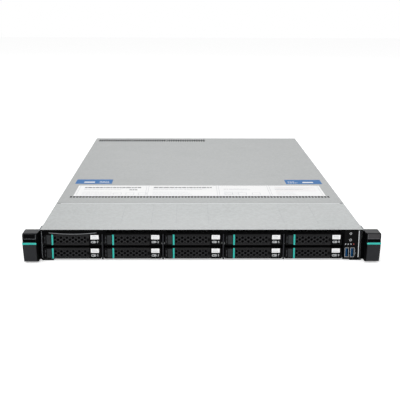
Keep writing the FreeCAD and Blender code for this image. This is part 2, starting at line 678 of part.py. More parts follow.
def ear_block():
    """The right-hand ear's moulding before its recesses are cut."""
    bottom, *_, top = ear_levels()
    front = FRONT_Y - EAR_FRONT
    x0, x1 = BODY_X + BRACKET_SHEET, BODY_X + EAR_WIDTH
    outline = [(x0, 0, top), (x1, 0, top), (x1, 0, (top + bottom) / 2), (x1 - EAR_TAPER, 0, bottom),
               (x0, 0, bottom)]
    block = prism(outline, (0, front, 0))
    left, ahead, below = x0 - TINY, front - TINY, bottom - TINY
    slope = prism([(left, ahead, below), (x0 + EAR_INNER_SLOPE, ahead, below),
                   (left, front + EAR_SLOPE_DEPTH, below)], (0, 0, top))
    undercut = prism([(left, ahead, below), (left, front + EAR_UNDERCUT, below),
                      (left, ahead, bottom + EAR_UNDERCUT)], (EAR_WIDTH + TINY, 0, 0))
    block = block.cut([slope, undercut])
    brow = [e for e in block.Edges
            if all(abs(v.Point.y - front) < 1e-6 and abs(v.Point.z - top) < 1e-6 for v in e.Vertexes)]
    block = block.makeFillet(EAR_TOP_RADIUS, brow)
    side = [e for e in block.Edges
            if e.Length > EAR_TOP_RADIUS * 2
            and all(abs(v.Point.x - x1) < 1e-6 and abs(v.Point.y - front) < 1e-6 for v in e.Vertexes)]
    return block.makeChamfer(EAR_EDGE_CHAMFER, side)


def ear():
    """The right-hand ear with its latch pocket, dark groove, inlay seat and bracket."""
    _, inlay, groove, latch_low, latch_high, top = ear_levels()
    front = FRONT_Y - EAR_FRONT
    x0, x1 = BODY_X, BODY_X + EAR_WIDTH
    in0, in1 = latch_span()
    pocket = box(in0 - PLAY, in1 + PLAY, front - TINY, front + LATCH_DEPTH + LATCH_TRAVEL + PLAY,
                 latch_low - PLAY, latch_high + PLAY)
    channel = box(in0 - PLAY, x1 + TINY, front - TINY, front + GROOVE_DEPTH, groove, latch_low - 2 * PLAY)
    seat = box(in0 - PLAY, x1 + TINY, front - TINY, front + INLAY_DEPTH, inlay, groove)
    body = ear_block().cut([pocket, channel, seat])
    bracket = box(x0, x0 + BRACKET_SHEET, FRONT_Y, FRONT_Y + BRACKET_REACH, EAR_MARGIN_LOW,
                  BODY_HEIGHT - EAR_MARGIN_HIGH)
    hole_x, hole_z = RACK_HOLE_SPAN / 2, BODY_HEIGHT / 2
    hole = cylinder(RACK_SCREW_RADIUS, (hole_x, -RACK_SCREW_DEPTH, hole_z), (hole_x, TINY, hole_z))
    foot = box(WALL_X, x0, FRONT_Y, FRONT_Y + BRACKET_REACH, EAR_MARGIN_LOW,
               WALL_TOP - COVER_FLANGE - COVER_SLIP)
    return fuse(body, bracket, foot).cut(hole)


def ear_latch():
    """The right-hand release latch that fills the pocket's mouth."""
    *_, latch_low, latch_high, _ = ear_levels()
    in0, in1 = latch_span()
    front = FRONT_Y - EAR_FRONT
    return box(in0, in1, front, front + LATCH_DEPTH, latch_low, latch_high)


def mirrored(shape):
    """The left-hand copy of a right-hand piece."""
    return shape.mirror(Vector(0, 0, 0), Vector(1, 0, 0))


# ---------------------------------------------------------------- control panel

def usb_places():
    """Left edges of the two front USB sockets."""
    left = PANEL_X0 + USB_OFFSET - USB_WIDTH / 2
    return [left - USB_PITCH / 2, left + USB_PITCH / 2]


def button_heights():
    """Centres of the power button and the identify button."""
    return WALL_TOP - POWER_DROP, WALL_TOP - ID_DROP


def control_panel():
    """The panel housing: a box with bores, socket openings, a circuit board and its two switches."""
    x0, x1 = PANEL_X0, PANEL_X1
    y0, y1 = FRONT_Y, FRONT_Y + PANEL_DEPTH
    z0, z1 = TRAY_SHEET, WALL_TOP
    outer = box(x0, x1, y0, y1, z0, z1)
    inner = box(x0 + PANEL_WALL, x1 - PANEL_WALL, y0 + PANEL_FRONT, y1 - PANEL_WALL,
                z0 + PANEL_WALL, z1 - PANEL_WALL)
    board_y = y0 + USB_LENGTH
    board = box(x0, x1, board_y, board_y + BOARD_THICKNESS, z0, z1)
    switch_x = x0 + BUTTON_OFFSET
    switch_y = y0 - PUSH_BUTTON_PROUD + PUSH_BUTTON_LENGTH + PUSH_BUTTON_TRAVEL + PLAY
    switches, cuts = [], []
    for z in button_heights():
        switches.append(box(switch_x - BUTTON_RADIUS, switch_x + BUTTON_RADIUS, switch_y, board_y,
                            z - BUTTON_RADIUS, z + BUTTON_RADIUS))
        cuts.append(cylinder(BUTTON_RADIUS + PUSH_BUTTON_PLAY, (switch_x, y0 - TINY, z),
                             (switch_x, y0 + PANEL_FRONT + TINY, z)))
    for x in usb_places():
        cuts.append(box(x - USB_SLIP, x + USB_WIDTH + USB_SLIP, y0 - TINY, y0 + PANEL_FRONT + TINY,
                        z0 + USB_LIFT - USB_SLIP, z0 + USB_LIFT + USB_HEIGHT + USB_SLIP))
    return fuse(outer.cut(inner), board, *switches).cut(cuts)


def push_button(z):
    """A round button in the control panel."""
    x, y = PANEL_X0 + BUTTON_OFFSET, FRONT_Y - PUSH_BUTTON_PROUD
    return cylinder(BUTTON_RADIUS, (x, y, z), (x, y + PUSH_BUTTON_LENGTH, z))


def usb_socket(x):
    """A socket's shell, closed at the back, with its tongue along the left side."""
    z0 = TRAY_SHEET + USB_LIFT
    y0, y1 = FRONT_Y, FRONT_Y + USB_LENGTH
    outer = box(x, x + USB_WIDTH, y0, y1, z0, z0 + USB_HEIGHT)
    inner = box(x + USB_SHELL, x + USB_WIDTH - USB_SHELL, y0 - TINY, y1 - 2 * USB_SHELL,
                z0 + USB_SHELL, z0 + USB_HEIGHT - USB_SHELL)
    tongue_x = x + USB_TONGUE_SIDE
    tongue = box(tongue_x, tongue_x + USB_TONGUE, y0 + USB_SHELL, y1 - USB_SHELL,
                 z0 + USB_TONGUE_INSET, z0 + USB_HEIGHT - USB_TONGUE_INSET)
    return fuse(outer.cut(inner), tongue)


# ---------------------------------------------------------------- rear ports and card slot

def port_places():
    """Left edge, width and kind of each rear port, from the power supplies to the card slot."""
    places = []
    x = BOARD_X0 + PORT_MARGIN
    for kind, width in [("video", VGA_WIDTH)] + [("lan", LAN_WIDTH)] * LAN_PORTS + \
            [("usb", REAR_USB_WIDTH)]:
        places.append((x, width, kind))
        x += width + PORT_GAP
    return places


def rear_port(x, width, kind):
    """A port's metal can with its mouth open to the rear."""
    z0, z1 = BOARD_TOP, BOARD_TOP + PORT_HEIGHT
    y0, y1 = REAR_Y - PORT_DEPTH, REAR_Y + PORT_WALL / 2
    can = box(x, x + width, y0, y1, z0, z1)
    if kind == "video":
        return can.cut(box(x + VGA_SIDE, x + width - VGA_SIDE, REAR_Y - VGA_MOUTH_DEPTH, y1 + TINY,
                           z0 + LAN_ROOF, z1 - LAN_ROOF))
    if kind == "lan":
        return can.cut(box(x + LAN_WALL, x + width - LAN_WALL, y0 + LAN_BACK, y1 + TINY,
                           z0 + LAN_WALL, z1 - LAN_ROOF))
    middle = (z0 + z1) / 2
    mouths = [box(x + PORT_WALL / 2, x + width - PORT_WALL / 2, y0 + PORT_WALL, y1 + TINY, low, high)
              for low, high in ((z0 + PORT_WALL / 2, middle - PORT_WALL / 2),
                                (middle + PORT_WALL / 2, z1 - PORT_WALL / 2))]
    return can.cut(mouths)


def slot_plate():
    """The blank bracket that closes the card slot from inside, with its screw tab."""
    x1, z1 = INNER_X - SLOT_SIDE, WALL_TOP - SLOT_DROP
    y1 = REAR_Y - TRAY_SHEET
    plate = box(x1 - SLOT_WIDTH - SLOT_LIP, x1 + SLOT_LIP, y1 - TRAY_SHEET, y1,
                z1 - SLOT_HEIGHT - SLOT_LIP, z1)
    return fuse(plate, box(x1 - SLOT_WIDTH, x1, y1 - SLOT_TAB, y1, z1, z1 + TRAY_SHEET))


def riser_board():
    """The upright board beside the card bay, standing on the main board."""
    x = INNER_X - SLOT_SIDE - SLOT_WIDTH - SLOT_LIP
    return box(x - BOARD_THICKNESS, x, REAR_Y - RISER_BACK - RISER_LENGTH, REAR_Y - RISER_BACK,
               BOARD_TOP, WALL_TOP - SLOT_DROP)


# ---------------------------------------------------------------- power supplies

def psu_x(bay):
    """Left side of a power supply, bay 0 being the outer one."""
    return -INNER_X + PSU_SIDE + bay * PSU_PITCH


def psu_z():
    """Underside of a power supply."""
    return TRAY_SHEET + PSU_CLEARANCE


def power_supply(bay):
    """A hot-swap supply: steel case, fan grille, mains inlet, contact board and fixed handle."""
    x0, z0 = psu_x(bay), psu_z()
    x1, z1 = x0 + PSU_WIDTH, z0 + PSU_HEIGHT
    y0, y1 = REAR_Y - PSU_LENGTH, REAR_Y
    case = box(x0, x1, y0, y1, z0, z1)
    cavity = box(x0 + PSU_WALL, x1 - PSU_WALL, y1 - PSU_CORE_GAP, y1 - PSU_WALL,
                 z0 + PSU_WALL, z1 - PSU_WALL)
    fan_x, fan_z = x1 - PSU_FAN_RADIUS - 2 * PSU_WALL, (z0 + z1) / 2
    inlet_x, inlet_z = x0 + INLET_SIDE, z0 + INLET_LIFT
    case = case.cut([cavity] + psu_grille(fan_x, fan_z, y1))
    housing = box(inlet_x - PSU_WALL, inlet_x + INLET_WIDTH + PSU_WALL, y1 - INLET_DEPTH - PSU_WALL, y1,
                  z0 + PSU_WALL, inlet_z + INLET_HEIGHT + PSU_WALL)
    mouth = box(inlet_x, inlet_x + INLET_WIDTH, y1 - INLET_DEPTH, y1 + TINY,
                inlet_z, inlet_z + INLET_HEIGHT)
    contact_x = (x0 + x1) / 2
    contact = box(contact_x - PSU_CONTACT_WIDTH / 2, contact_x + PSU_CONTACT_WIDTH / 2,
                  y0 - PSU_CONTACT_LENGTH, y0, fan_z, fan_z + BOARD_THICKNESS)
    return fuse(case, housing, contact, psu_handle(x0, y1, z0), psu_knuckle(bay)).cut(mouth)


def psu_grille(x, z, y):
    """Finger-guard slots cut across a circle."""
    pitch = 2 * PSU_FAN_RADIUS / PSU_GRILLE_SLOTS
    cuts = []
    for n in range(PSU_GRILLE_SLOTS):
        rise = (n - (PSU_GRILLE_SLOTS - 1) / 2) * pitch
        half = math.sqrt(PSU_FAN_RADIUS ** 2 - rise ** 2) - PSU_GRILLE_BAR / 2
        height = pitch - PSU_GRILLE_BAR
        cuts.append(box(x - half, x + half, y - 2 * PSU_WALL, y + TINY, z + rise - height / 2,
                        z + rise + height / 2))
    return cuts


def psu_handle(x0, y, z0):
    """A fixed square loop over the inlet side of the supply."""
    z1 = z0 + PSU_HEIGHT - HANDLE_DROP
    low = z1 - HANDLE_HEIGHT
    a, b = x0 + HANDLE_SIDE, x0 + HANDLE_SIDE + HANDLE_WIDTH
    loop = box(a, b, y, y + HANDLE_REACH, low, z1)
    gap = box(a + HANDLE_THICKNESS, b - HANDLE_THICKNESS, y - TINY, y + HANDLE_REACH - HANDLE_THICKNESS,
              low - TINY, z1 + TINY)
    return loop.cut(gap)


def latch_axis(bay):
    """The upright axis that a supply's latch turns on, in X and Y."""
    x = psu_x(bay) + 2 * HANDLE_SIDE + HANDLE_WIDTH + PSU_LATCH_BARREL
    return x, REAR_Y + PSU_LATCH_BARREL + PLAY


def latch_z():
    """Underside and top of a supply's latch."""
    z1 = psu_z() + PSU_HEIGHT - HANDLE_DROP
    return z1 - PSU_LATCH_HEIGHT, z1


def psu_knuckle(bay):
    """The bored tongue on a supply's rear face that its latch turns on."""
    x, y = latch_axis(bay)
    low, high = latch_z()
    middle, half = (low + high) / 2, KNUCKLE_HEIGHT / 2
    tongue = prism(ring(x, y, middle - half, PSU_LATCH_BARREL, 8, math.pi / 8), (0, 0, 2 * half))
    stem = box(x - PSU_LATCH_PIN, x + PSU_LATCH_PIN, REAR_Y - PSU_WALL / 2, y, middle - half, middle + half)
    bore = pin_bar(bore_radius(PSU_LATCH_PIN), PIN_SIDES, x, y, middle - half - TINY, middle + half + TINY)
    return tongue.fuse(stem).cut(bore)


def psu_latch(bay):
    """A thumb lever beside the handle: two hinge eyes, the pin across them and a blade."""
    x, y = latch_axis(bay)
    low, high = latch_z()
    middle, gap = (low + high) / 2, KNUCKLE_HEIGHT / 2 + PLAY
    eye = prism(ring(x, y, low, PSU_LATCH_BARREL, 8, math.pi / 8), (0, 0, high - low))
    blade = box(x - PSU_LATCH_SHEET / 2, x + PSU_LATCH_SHEET / 2, y, y + PSU_LATCH_LENGTH - PSU_LATCH_BARREL,
                low, high)
    reach = PSU_LATCH_BARREL + PLAY
    notch = box(x - reach, x + reach, y - reach, y + reach, middle - gap, middle + gap)
    pin = pin_bar(PSU_LATCH_PIN, PIN_SIDES, x, y, middle - gap, middle + gap)
    return fuse(eye.fuse(blade).cut(notch), pin)


# ---------------------------------------------------------------- fans

def fan_centre(fan):
    """Middle of a fan in X and Z."""
    return BOARD_MID + (fan - (FANS - 1) / 2) * FAN_PITCH, TRAY_SHEET + FAN_SIZE / 2


def fan_frame(fan):
    """A square fan housing with a round bore and a motor plate on a strut at the rear."""
    x, z = fan_centre(fan)
    half = FAN_SIZE / 2
    y1 = FAN_Y + FAN_DEPTH
    block = box(x - half, x + half, FAN_Y, y1, z - half, z + half)
    bore = across(ring(x, z, 0, FAN_BORE, FAN_SIDES), FAN_Y - TINY, FAN_DEPTH + 2 * TINY)
    strut = box(x - half + FAN_WALL / 2, x + half - FAN_WALL / 2, y1 - FAN_STRUT, y1,
                z - FAN_STRUT / 2, z + FAN_STRUT / 2)
    motor = box(x - FAN_MOTOR / 2, x + FAN_MOTOR / 2, y1 - FAN_STRUT, y1,
                z - FAN_MOTOR / 2, z + FAN_MOTOR / 2)
    return fuse(block.cut(bore), strut, motor)


def fan_rotor(fan):
    """Hub and pitched blades."""
    x, z = fan_centre(fan)
    length = FAN_DEPTH - FAN_STRUT - 2 * FAN_TIP_GAP
    y0 = FAN_Y + FAN_TIP_GAP
    hub = across(ring(x, z, 0, FAN_HUB_RADIUS, 2 * FAN_BLADES, math.pi / 2 / FAN_BLADES), y0, length)
    swing = FAN_BLADE_CHORD / 2 * math.sin(math.radians(FAN_BLADE_TILT)) + FAN_BLADE_SHEET
    clear = FAN_BORE * math.cos(math.pi / FAN_SIDES) - FAN_TIP_GAP
    tip = math.sqrt(clear ** 2 - swing ** 2)
    blades = []
    for n in range(FAN_BLADES):
        blade = box(-FAN_BLADE_SHEET / 2, FAN_BLADE_SHEET / 2, -FAN_BLADE_CHORD / 2, FAN_BLADE_CHORD / 2,
                    FAN_HUB_RADIUS / 2, tip)
        blade.rotate(Vector(0, 0, 0), Vector(0, 0, 1), FAN_BLADE_TILT)
        blade.rotate(Vector(0, 0, 0), Vector(0, 1, 0), n * 360 / FAN_BLADES)
        blade.translate(Vector(x, y0 + length / 2, z))
        blades.append(blade)
    return fuse(hub, *blades)


# ---------------------------------------------------------------- boards

def dimm_places():
    """Middles in X of the memory slots: a bank between the processors and one outside each."""
    places = [BOARD_MID + (n - (DIMMS_MIDDLE - 1) / 2) * DIMM_PITCH for n in range(DIMMS_MIDDLE)]
    outer = CPU_SPREAD + SINK_WIDTH / 2 + SHROUD_GAP + BANK_GAP + DIMM_SLOT_WIDTH / 2
    for side in (-1, 1):
        places += [BOARD_MID + side * (outer + n * DIMM_PITCH) for n in range(DIMMS_SIDE)]
    return places


def motherboard():
    """The main board with its memory, processor and cable sockets, and the power board."""
    board = box(BOARD_X0, BOARD_X1, BOARD_Y0, BOARD_Y1, BOARD_Z, BOARD_TOP)
    added = []
    y0 = BOARD_Y0 + DIMM_FRONT
    for x in dimm_places():
        added.append(box(x - DIMM_SLOT_WIDTH / 2, x + DIMM_SLOT_WIDTH / 2, y0 - DIMM_SLOT_END,
                         y0 + DIMM_LENGTH + DIMM_SLOT_END, BOARD_TOP, BOARD_TOP + DIMM_SLOT_HEIGHT))
    for side in (-1, 1):
        x = BOARD_MID + side * CPU_SPREAD
        y = BOARD_Y0 + CPU_BACK
        added.append(box(x - SINK_WIDTH / 2 + SINK_BASE, x + SINK_WIDTH / 2 - SINK_BASE,
                         y + SINK_BASE, y + SINK_LENGTH - SINK_BASE, BOARD_TOP, BOARD_TOP + SOCKET_HEIGHT))
    cuts = [dimm_blade(x, DIMM_Z, DIMM_PLAY) for x in dimm_places()]
    sockets = [box(CABLE_END, CABLE_END + PLUG_DEPTH, cable_end_y(lane) - PLUG_WIDTH,
                   cable_end_y(lane) + PLUG_WIDTH, BOARD_TOP, CABLE_Z + CABLE_HEIGHT) for lane in range(2)]
    return fuse(board, *added, *sockets).cut(cuts), power_board(), riser_board()


def power_board():
    """The board in front of the power supplies, with a socket for each one's contacts."""
    y1 = REAR_Y - PSU_LENGTH - PSU_CONTACT_LENGTH - PLAY
    board = box(psu_x(0), psu_x(1) + PSU_WIDTH, y1 - POWER_BOARD_DEPTH, y1, BOARD_Z, BOARD_TOP)
    feet = [box(x, x + STANDOFF, y1 - POWER_BOARD_DEPTH, y1, TRAY_SHEET, BOARD_Z)
            for x in (psu_x(0), psu_x(1) + PSU_WIDTH - STANDOFF)]
    sockets = [box(psu_x(bay) + (PSU_WIDTH - PSU_CONTACT_WIDTH) / 2,
                   psu_x(bay) + (PSU_WIDTH + PSU_CONTACT_WIDTH) / 2,
                   y1 - PLUG_DEPTH, y1, BOARD_TOP, psu_z() + PSU_HEIGHT / 2 + PORT_GAP)
               for bay in range(2)]
    return fuse(board, *feet, *sockets)


def dimm_blade(x, z0, grow):
    """A memory module in its heat spreader, or the slit that it stands in."""
    y0 = BOARD_Y0 + DIMM_FRONT
    return box(x - DIMM_SHEET / 2 - grow, x + DIMM_SHEET / 2 + grow, y0 - grow, y0 + DIMM_LENGTH + grow,
               z0, z0 + DIMM_HEIGHT)


def heat_sink(side):
    """A finned block over one processor, extruded along the air's path."""
    x0 = BOARD_MID + side * CPU_SPREAD - SINK_WIDTH / 2
    y0, z0 = BOARD_Y0 + CPU_BACK, BOARD_TOP + SOCKET_HEIGHT
    pitch = (SINK_WIDTH - SINK_FIN_SHEET) / (SINK_FINS - 1)
    outline = [(x0, y0, z0)]
    for n in range(SINK_FINS):
        left = x0 + n * pitch
        right = left + SINK_FIN_SHEET
        if n > 0:
            outline.append((left, y0, z0 + SINK_BASE))
        outline += [(left, y0, z0 + SINK_HEIGHT), (right, y0, z0 + SINK_HEIGHT)]
        if n < SINK_FINS - 1:
            outline.append((right, y0, z0 + SINK_BASE))
    outline.append((x0 + SINK_WIDTH, y0, z0))
    return prism(outline, (0, SINK_LENGTH, 0))


def air_shroud():
    """The duct over both processors: a roof with four cheeks, open over the memory banks."""
    y0 = BOARD_Y0 + SHROUD_FRONT
    y1 = y0 + SHROUD_LENGTH
    top = WALL_TOP - SHROUD_TOP_GAP
    pieces = []
    for side in (-1, 1):
        middle = BOARD_MID + side * CPU_SPREAD
        half = SINK_WIDTH / 2 + SHROUD_GAP
        outer = box(middle - half, middle + half, y0, y1, BOARD_TOP, top)
        inner = box(middle - half + SHROUD_SHEET, middle + half - SHROUD_SHEET, y0 - TINY, y1 + TINY,
                    BOARD_TOP - TINY, top - SHROUD_SHEET)
        pieces.append(outer.cut(inner))
    inner_edge = BANK_HALF + BANK_GAP
    for y in (y0, y1 - SHROUD_STRAP):
        pieces.append(box(BOARD_MID - inner_edge, BOARD_MID + inner_edge, y, y + SHROUD_STRAP,
                          top - SHROUD_SHEET, top))
    return fuse(*pieces)


def backplane():
    """The board across the back of the drive bays: drive sockets, air windows and cable plugs."""
    y0, y1 = BACKPLANE_Y, BACKPLANE_Y + BACKPLANE_THICKNESS
    board = box(-INNER_X + PLAY, PANEL_X0 - PLAY, y0, y1, TRAY_SHEET, WALL_TOP - BACKPLANE_TOP_GAP)
    windows, sockets = [], []
    for column in range(COLUMNS):
        x = tray_x(column) + TRAY_WIDTH / 2
        for row in range(ROWS):
            z = bezel_z(row) + SAS_LIFT
            sockets.append(box(x - SAS_WIDTH / 2, x + SAS_WIDTH / 2, y0 - SAS_DEPTH, y0, z, z + SAS_HEIGHT))
            if row:
                windows.append(box(x - WINDOW_WIDTH / 2, x + WINDOW_WIDTH / 2, y0 - TINY, y1 + TINY,
                                   z - ROW_PITCH + SAS_HEIGHT + WINDOW_GAP, z - WINDOW_GAP))
    plugs = [box(cable_x(lane) - CABLE_SHEET, cable_x(lane) + CABLE_SHEET, y1, y1 + PLUG_DEPTH,
                 CABLE_Z - CABLE_SHEET, CABLE_Z - CABLE_SHEET + PLUG_HEIGHT) for lane in range(2)]
    return fuse(board.cut(windows), *sockets, *plugs)


def cable_x(lane):
    """Where a data cable leaves the backplane, beside the wall of the first bay."""
    return divider_x(1) + (lane - 0.5) * CABLE_SPREAD


def cable_end_y(lane):
    """Where a data cable reaches the main board."""
    return BOARD_Y0 + CABLE_END_FRONT - CABLE_END_STEP * lane


def data_cable(lane):
    """A flat cable on edge, from the backplane past the fans and across to the main board."""
    y0 = BACKPLANE_Y + BACKPLANE_THICKNESS + PLUG_DEPTH
    y_end = cable_end_y(lane)
    return ribbon([(cable_x(lane), y0), (cable_x(lane), y_end), (CABLE_END, y_end)], CABLE_Z, CABLE_HEIGHT)


def ribbon(route, z, height):
    """A strip on edge along straight runs joined by tangent arcs."""
    points = [Vector(x, y, z) for x, y in route]
    edges, start = [], points[0]
    for before, corner, after in zip(points, points[1:], points[2:]):
        into, out = (corner - before).normalize(), (after - corner).normalize()
        reach = CABLE_BEND * min((corner - before).Length, (after - corner).Length)
        a, b = corner - into * reach, corner + out * reach
        middle = corner + (out - into).normalize() * reach * (math.sqrt(2) - 1)
        edges += [Part.LineSegment(start, a).toShape(), Part.Arc(a, middle, b).toShape()]
        start = b
    edges.append(Part.LineSegment(start, points[-1]).toShape())
    first = (points[1] - points[0]).normalize()
    across = Vector(-first.y, first.x, 0) * (CABLE_SHEET / 2)
    corners = [points[0] + across, points[0] - across, points[0] - across + Vector(0, 0, height),
               points[0] + across + Vector(0, 0, height)]
    section = Part.Wire(Part.makePolygon(corners + corners[:1]).Edges)
    return Part.Wire(edges).makePipeShell([section], True, True)


def main():
    """Builds every node and writes it."""
    os.makedirs("parts", exist_ok=True)
    save("chassis_tray", *chassis_tray())
    save("rear_wall", port_plate(), slot_frame(), slot_plate(), *psu_partitions())
    save("front_cover", front_cover())
    save("top_cover", top_cover())
    save("drive_cage", drive_cage(), panel_cheek())
    save("information_tag", information_tag())
    for row in range(ROWS):
        for column in range(COLUMNS):
            bay = str(column * ROWS + (ROWS - 1 - row))
            save("drive_tray_" + bay, *drive_tray(column, row))
            save("latch_lever_" + bay, latch_lever(column, row))
            save("release_button_" + bay, release_button(column, row))
    save("right_ear", ear())
    save("left_ear", mirrored(ear()))
    save("right_latch", ear_latch())
    save("left_latch", mirrored(ear_latch()))
    save("control_panel", control_panel())
    power_z, id_z = button_heights()
    save("power_button", push_button(power_z))
    save("identify_button", push_button(id_z))
    save("io_ports", *[usb_socket(x) for x in usb_places()], *[rear_port(*p) for p in port_places()])
    for bay in range(2):
        save("power_supply_" + str(bay), power_supply(bay))
        save("supply_latch_" + str(bay), psu_latch(bay))
    save("fan_frames", fan_partition(), *[fan_frame(fan) for fan in range(FANS)])
    for fan in range(FANS):
        save("fan_rotor_" + str(fan), fan_rotor(fan))
    save("motherboard", *motherboard())
    save("memory_modules", *[dimm_blade(x, DIMM_Z, 0) for x in dimm_places()])
    save("heat_sinks", heat_sink(-1), heat_sink(1))
    save("air_shroud", air_shroud())
    save("backplane", backplane())
    save("data_cables", data_cable(0), data_cable(1))


main()
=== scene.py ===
"""A 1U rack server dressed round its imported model: finishes, labels, marks, grilles, screws and boards.

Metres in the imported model's own frame: +X to the right as seen from the front, +Y to the rear, +Z up.
"""
import logging
import math
import random
from dataclasses import dataclass, field
from enum import Enum
from functools import cached_property
from typing import Callable, Iterable, Optional, Sequence

import bmesh
import bpy
from mathutils import Matrix, Vector


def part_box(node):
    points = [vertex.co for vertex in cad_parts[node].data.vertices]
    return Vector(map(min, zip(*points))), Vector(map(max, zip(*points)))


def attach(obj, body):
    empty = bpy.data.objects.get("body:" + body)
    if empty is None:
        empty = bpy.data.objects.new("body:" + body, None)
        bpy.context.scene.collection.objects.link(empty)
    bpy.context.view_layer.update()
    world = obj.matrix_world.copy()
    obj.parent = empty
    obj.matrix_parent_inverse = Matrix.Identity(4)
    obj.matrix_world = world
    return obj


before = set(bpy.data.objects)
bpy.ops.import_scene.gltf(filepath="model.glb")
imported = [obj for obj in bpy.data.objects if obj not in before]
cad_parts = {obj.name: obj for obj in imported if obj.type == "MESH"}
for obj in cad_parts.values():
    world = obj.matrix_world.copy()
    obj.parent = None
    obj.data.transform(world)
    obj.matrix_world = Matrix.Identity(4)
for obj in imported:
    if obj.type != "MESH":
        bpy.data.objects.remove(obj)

LOG = logging.getLogger("server")
MM = 0.001
CHASSIS = "chassis"
BAYS = 10
SUPPLIES = 2
# Edges that turn by more than this many degrees stay sharp.
SHARP = 35.0
# In millimetres: thickness of print, gap between words, the main board's top, the supplies' rear face.
INK = 0.03
WORD_GAP = 0.9
BOARD_TOP = 8.8
REAR = 732.0
# Each side's name and its direction along X.
SIDES = ("left", -1), ("right", 1)
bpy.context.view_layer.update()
# Short names for types that are written often.
Pair = tuple[float, float]
Point = tuple[float, float, float]
Row = tuple[float, ...]
Inputs = bpy.types.bpy_prop_collection
Tree = bpy.types.NodeTree
Socket = bpy.types.NodeSocket
Shape = bmesh.types.BMesh
Object = bpy.types.Object
Mesh = bpy.types.Mesh


# ---- finishes

def linear(code: str) -> Row:
    """Turns an sRGB hex colour into the linear colour that shaders take.

    Args:
        code: six hex digits, with or without a leading hash.

    Returns:
        Red, green, blue and an alpha of one.
    """
    digits = code.lstrip("#")
    parts = [int(digits[k:k + 2], 16) / 255 for k in (0, 2, 4)]
    red, green, blue = (c / 12.92 if c <= 0.04045 else ((c + 0.055) / 1.055) ** 2.4 for c in parts)
    return red, green, blue, 1.0


def add(tree: Tree, kind: str, sockets: Optional[dict] = None, **settings) -> bpy.types.Node:
    """Adds a node, sets its properties, then fills its sockets with values or links.

    Args:
        tree: the tree that gets the node.
        kind: the node type's identifier.
        sockets: input name or index, with the value or the output socket that goes in.
        settings: properties of the node itself.

    Returns:
        The new node.
    """
    node = tree.nodes.new(kind)
    for name, value in settings.items():
        setattr(node, name, value)
    for key, value in (sockets or {}).items():
        if isinstance(value, Socket):
            tree.links.new(value, node.inputs[key])
        else:
            node.inputs[key].default_value = value
    return node


def out(tree: Tree, kind: str, sockets: Optional[dict] = None, **settings) -> Socket:
    """Adds a node as add() does and returns its first output."""
    return add(tree, kind, sockets, **settings).outputs[0]


def calc(tree: Tree, operation: str, *terms) -> Socket:
    """Adds a Math node on values or sockets and returns its result."""
    return out(tree, "ShaderNodeMath", dict(enumerate(terms)), operation=operation)


def metres(values: Iterable[float]) -> Row:
    """Millimetres as metres."""
    return tuple(value * MM for value in values)


class Grain(Enum):
    """How a surface was made, which settles its pattern."""

    SPANGLE = "zinc crystals on rolled sheet"
    ROLLED = "fine lines along a rolled or brushed sheet"
    SPARKED = "pits left by a spark-eroded mould or by powder coat"
    POLISHED = "a polished mould"
    WOVEN = "glass cloth under solder mask"
    PRINTED = "ink or film with a paper tooth"


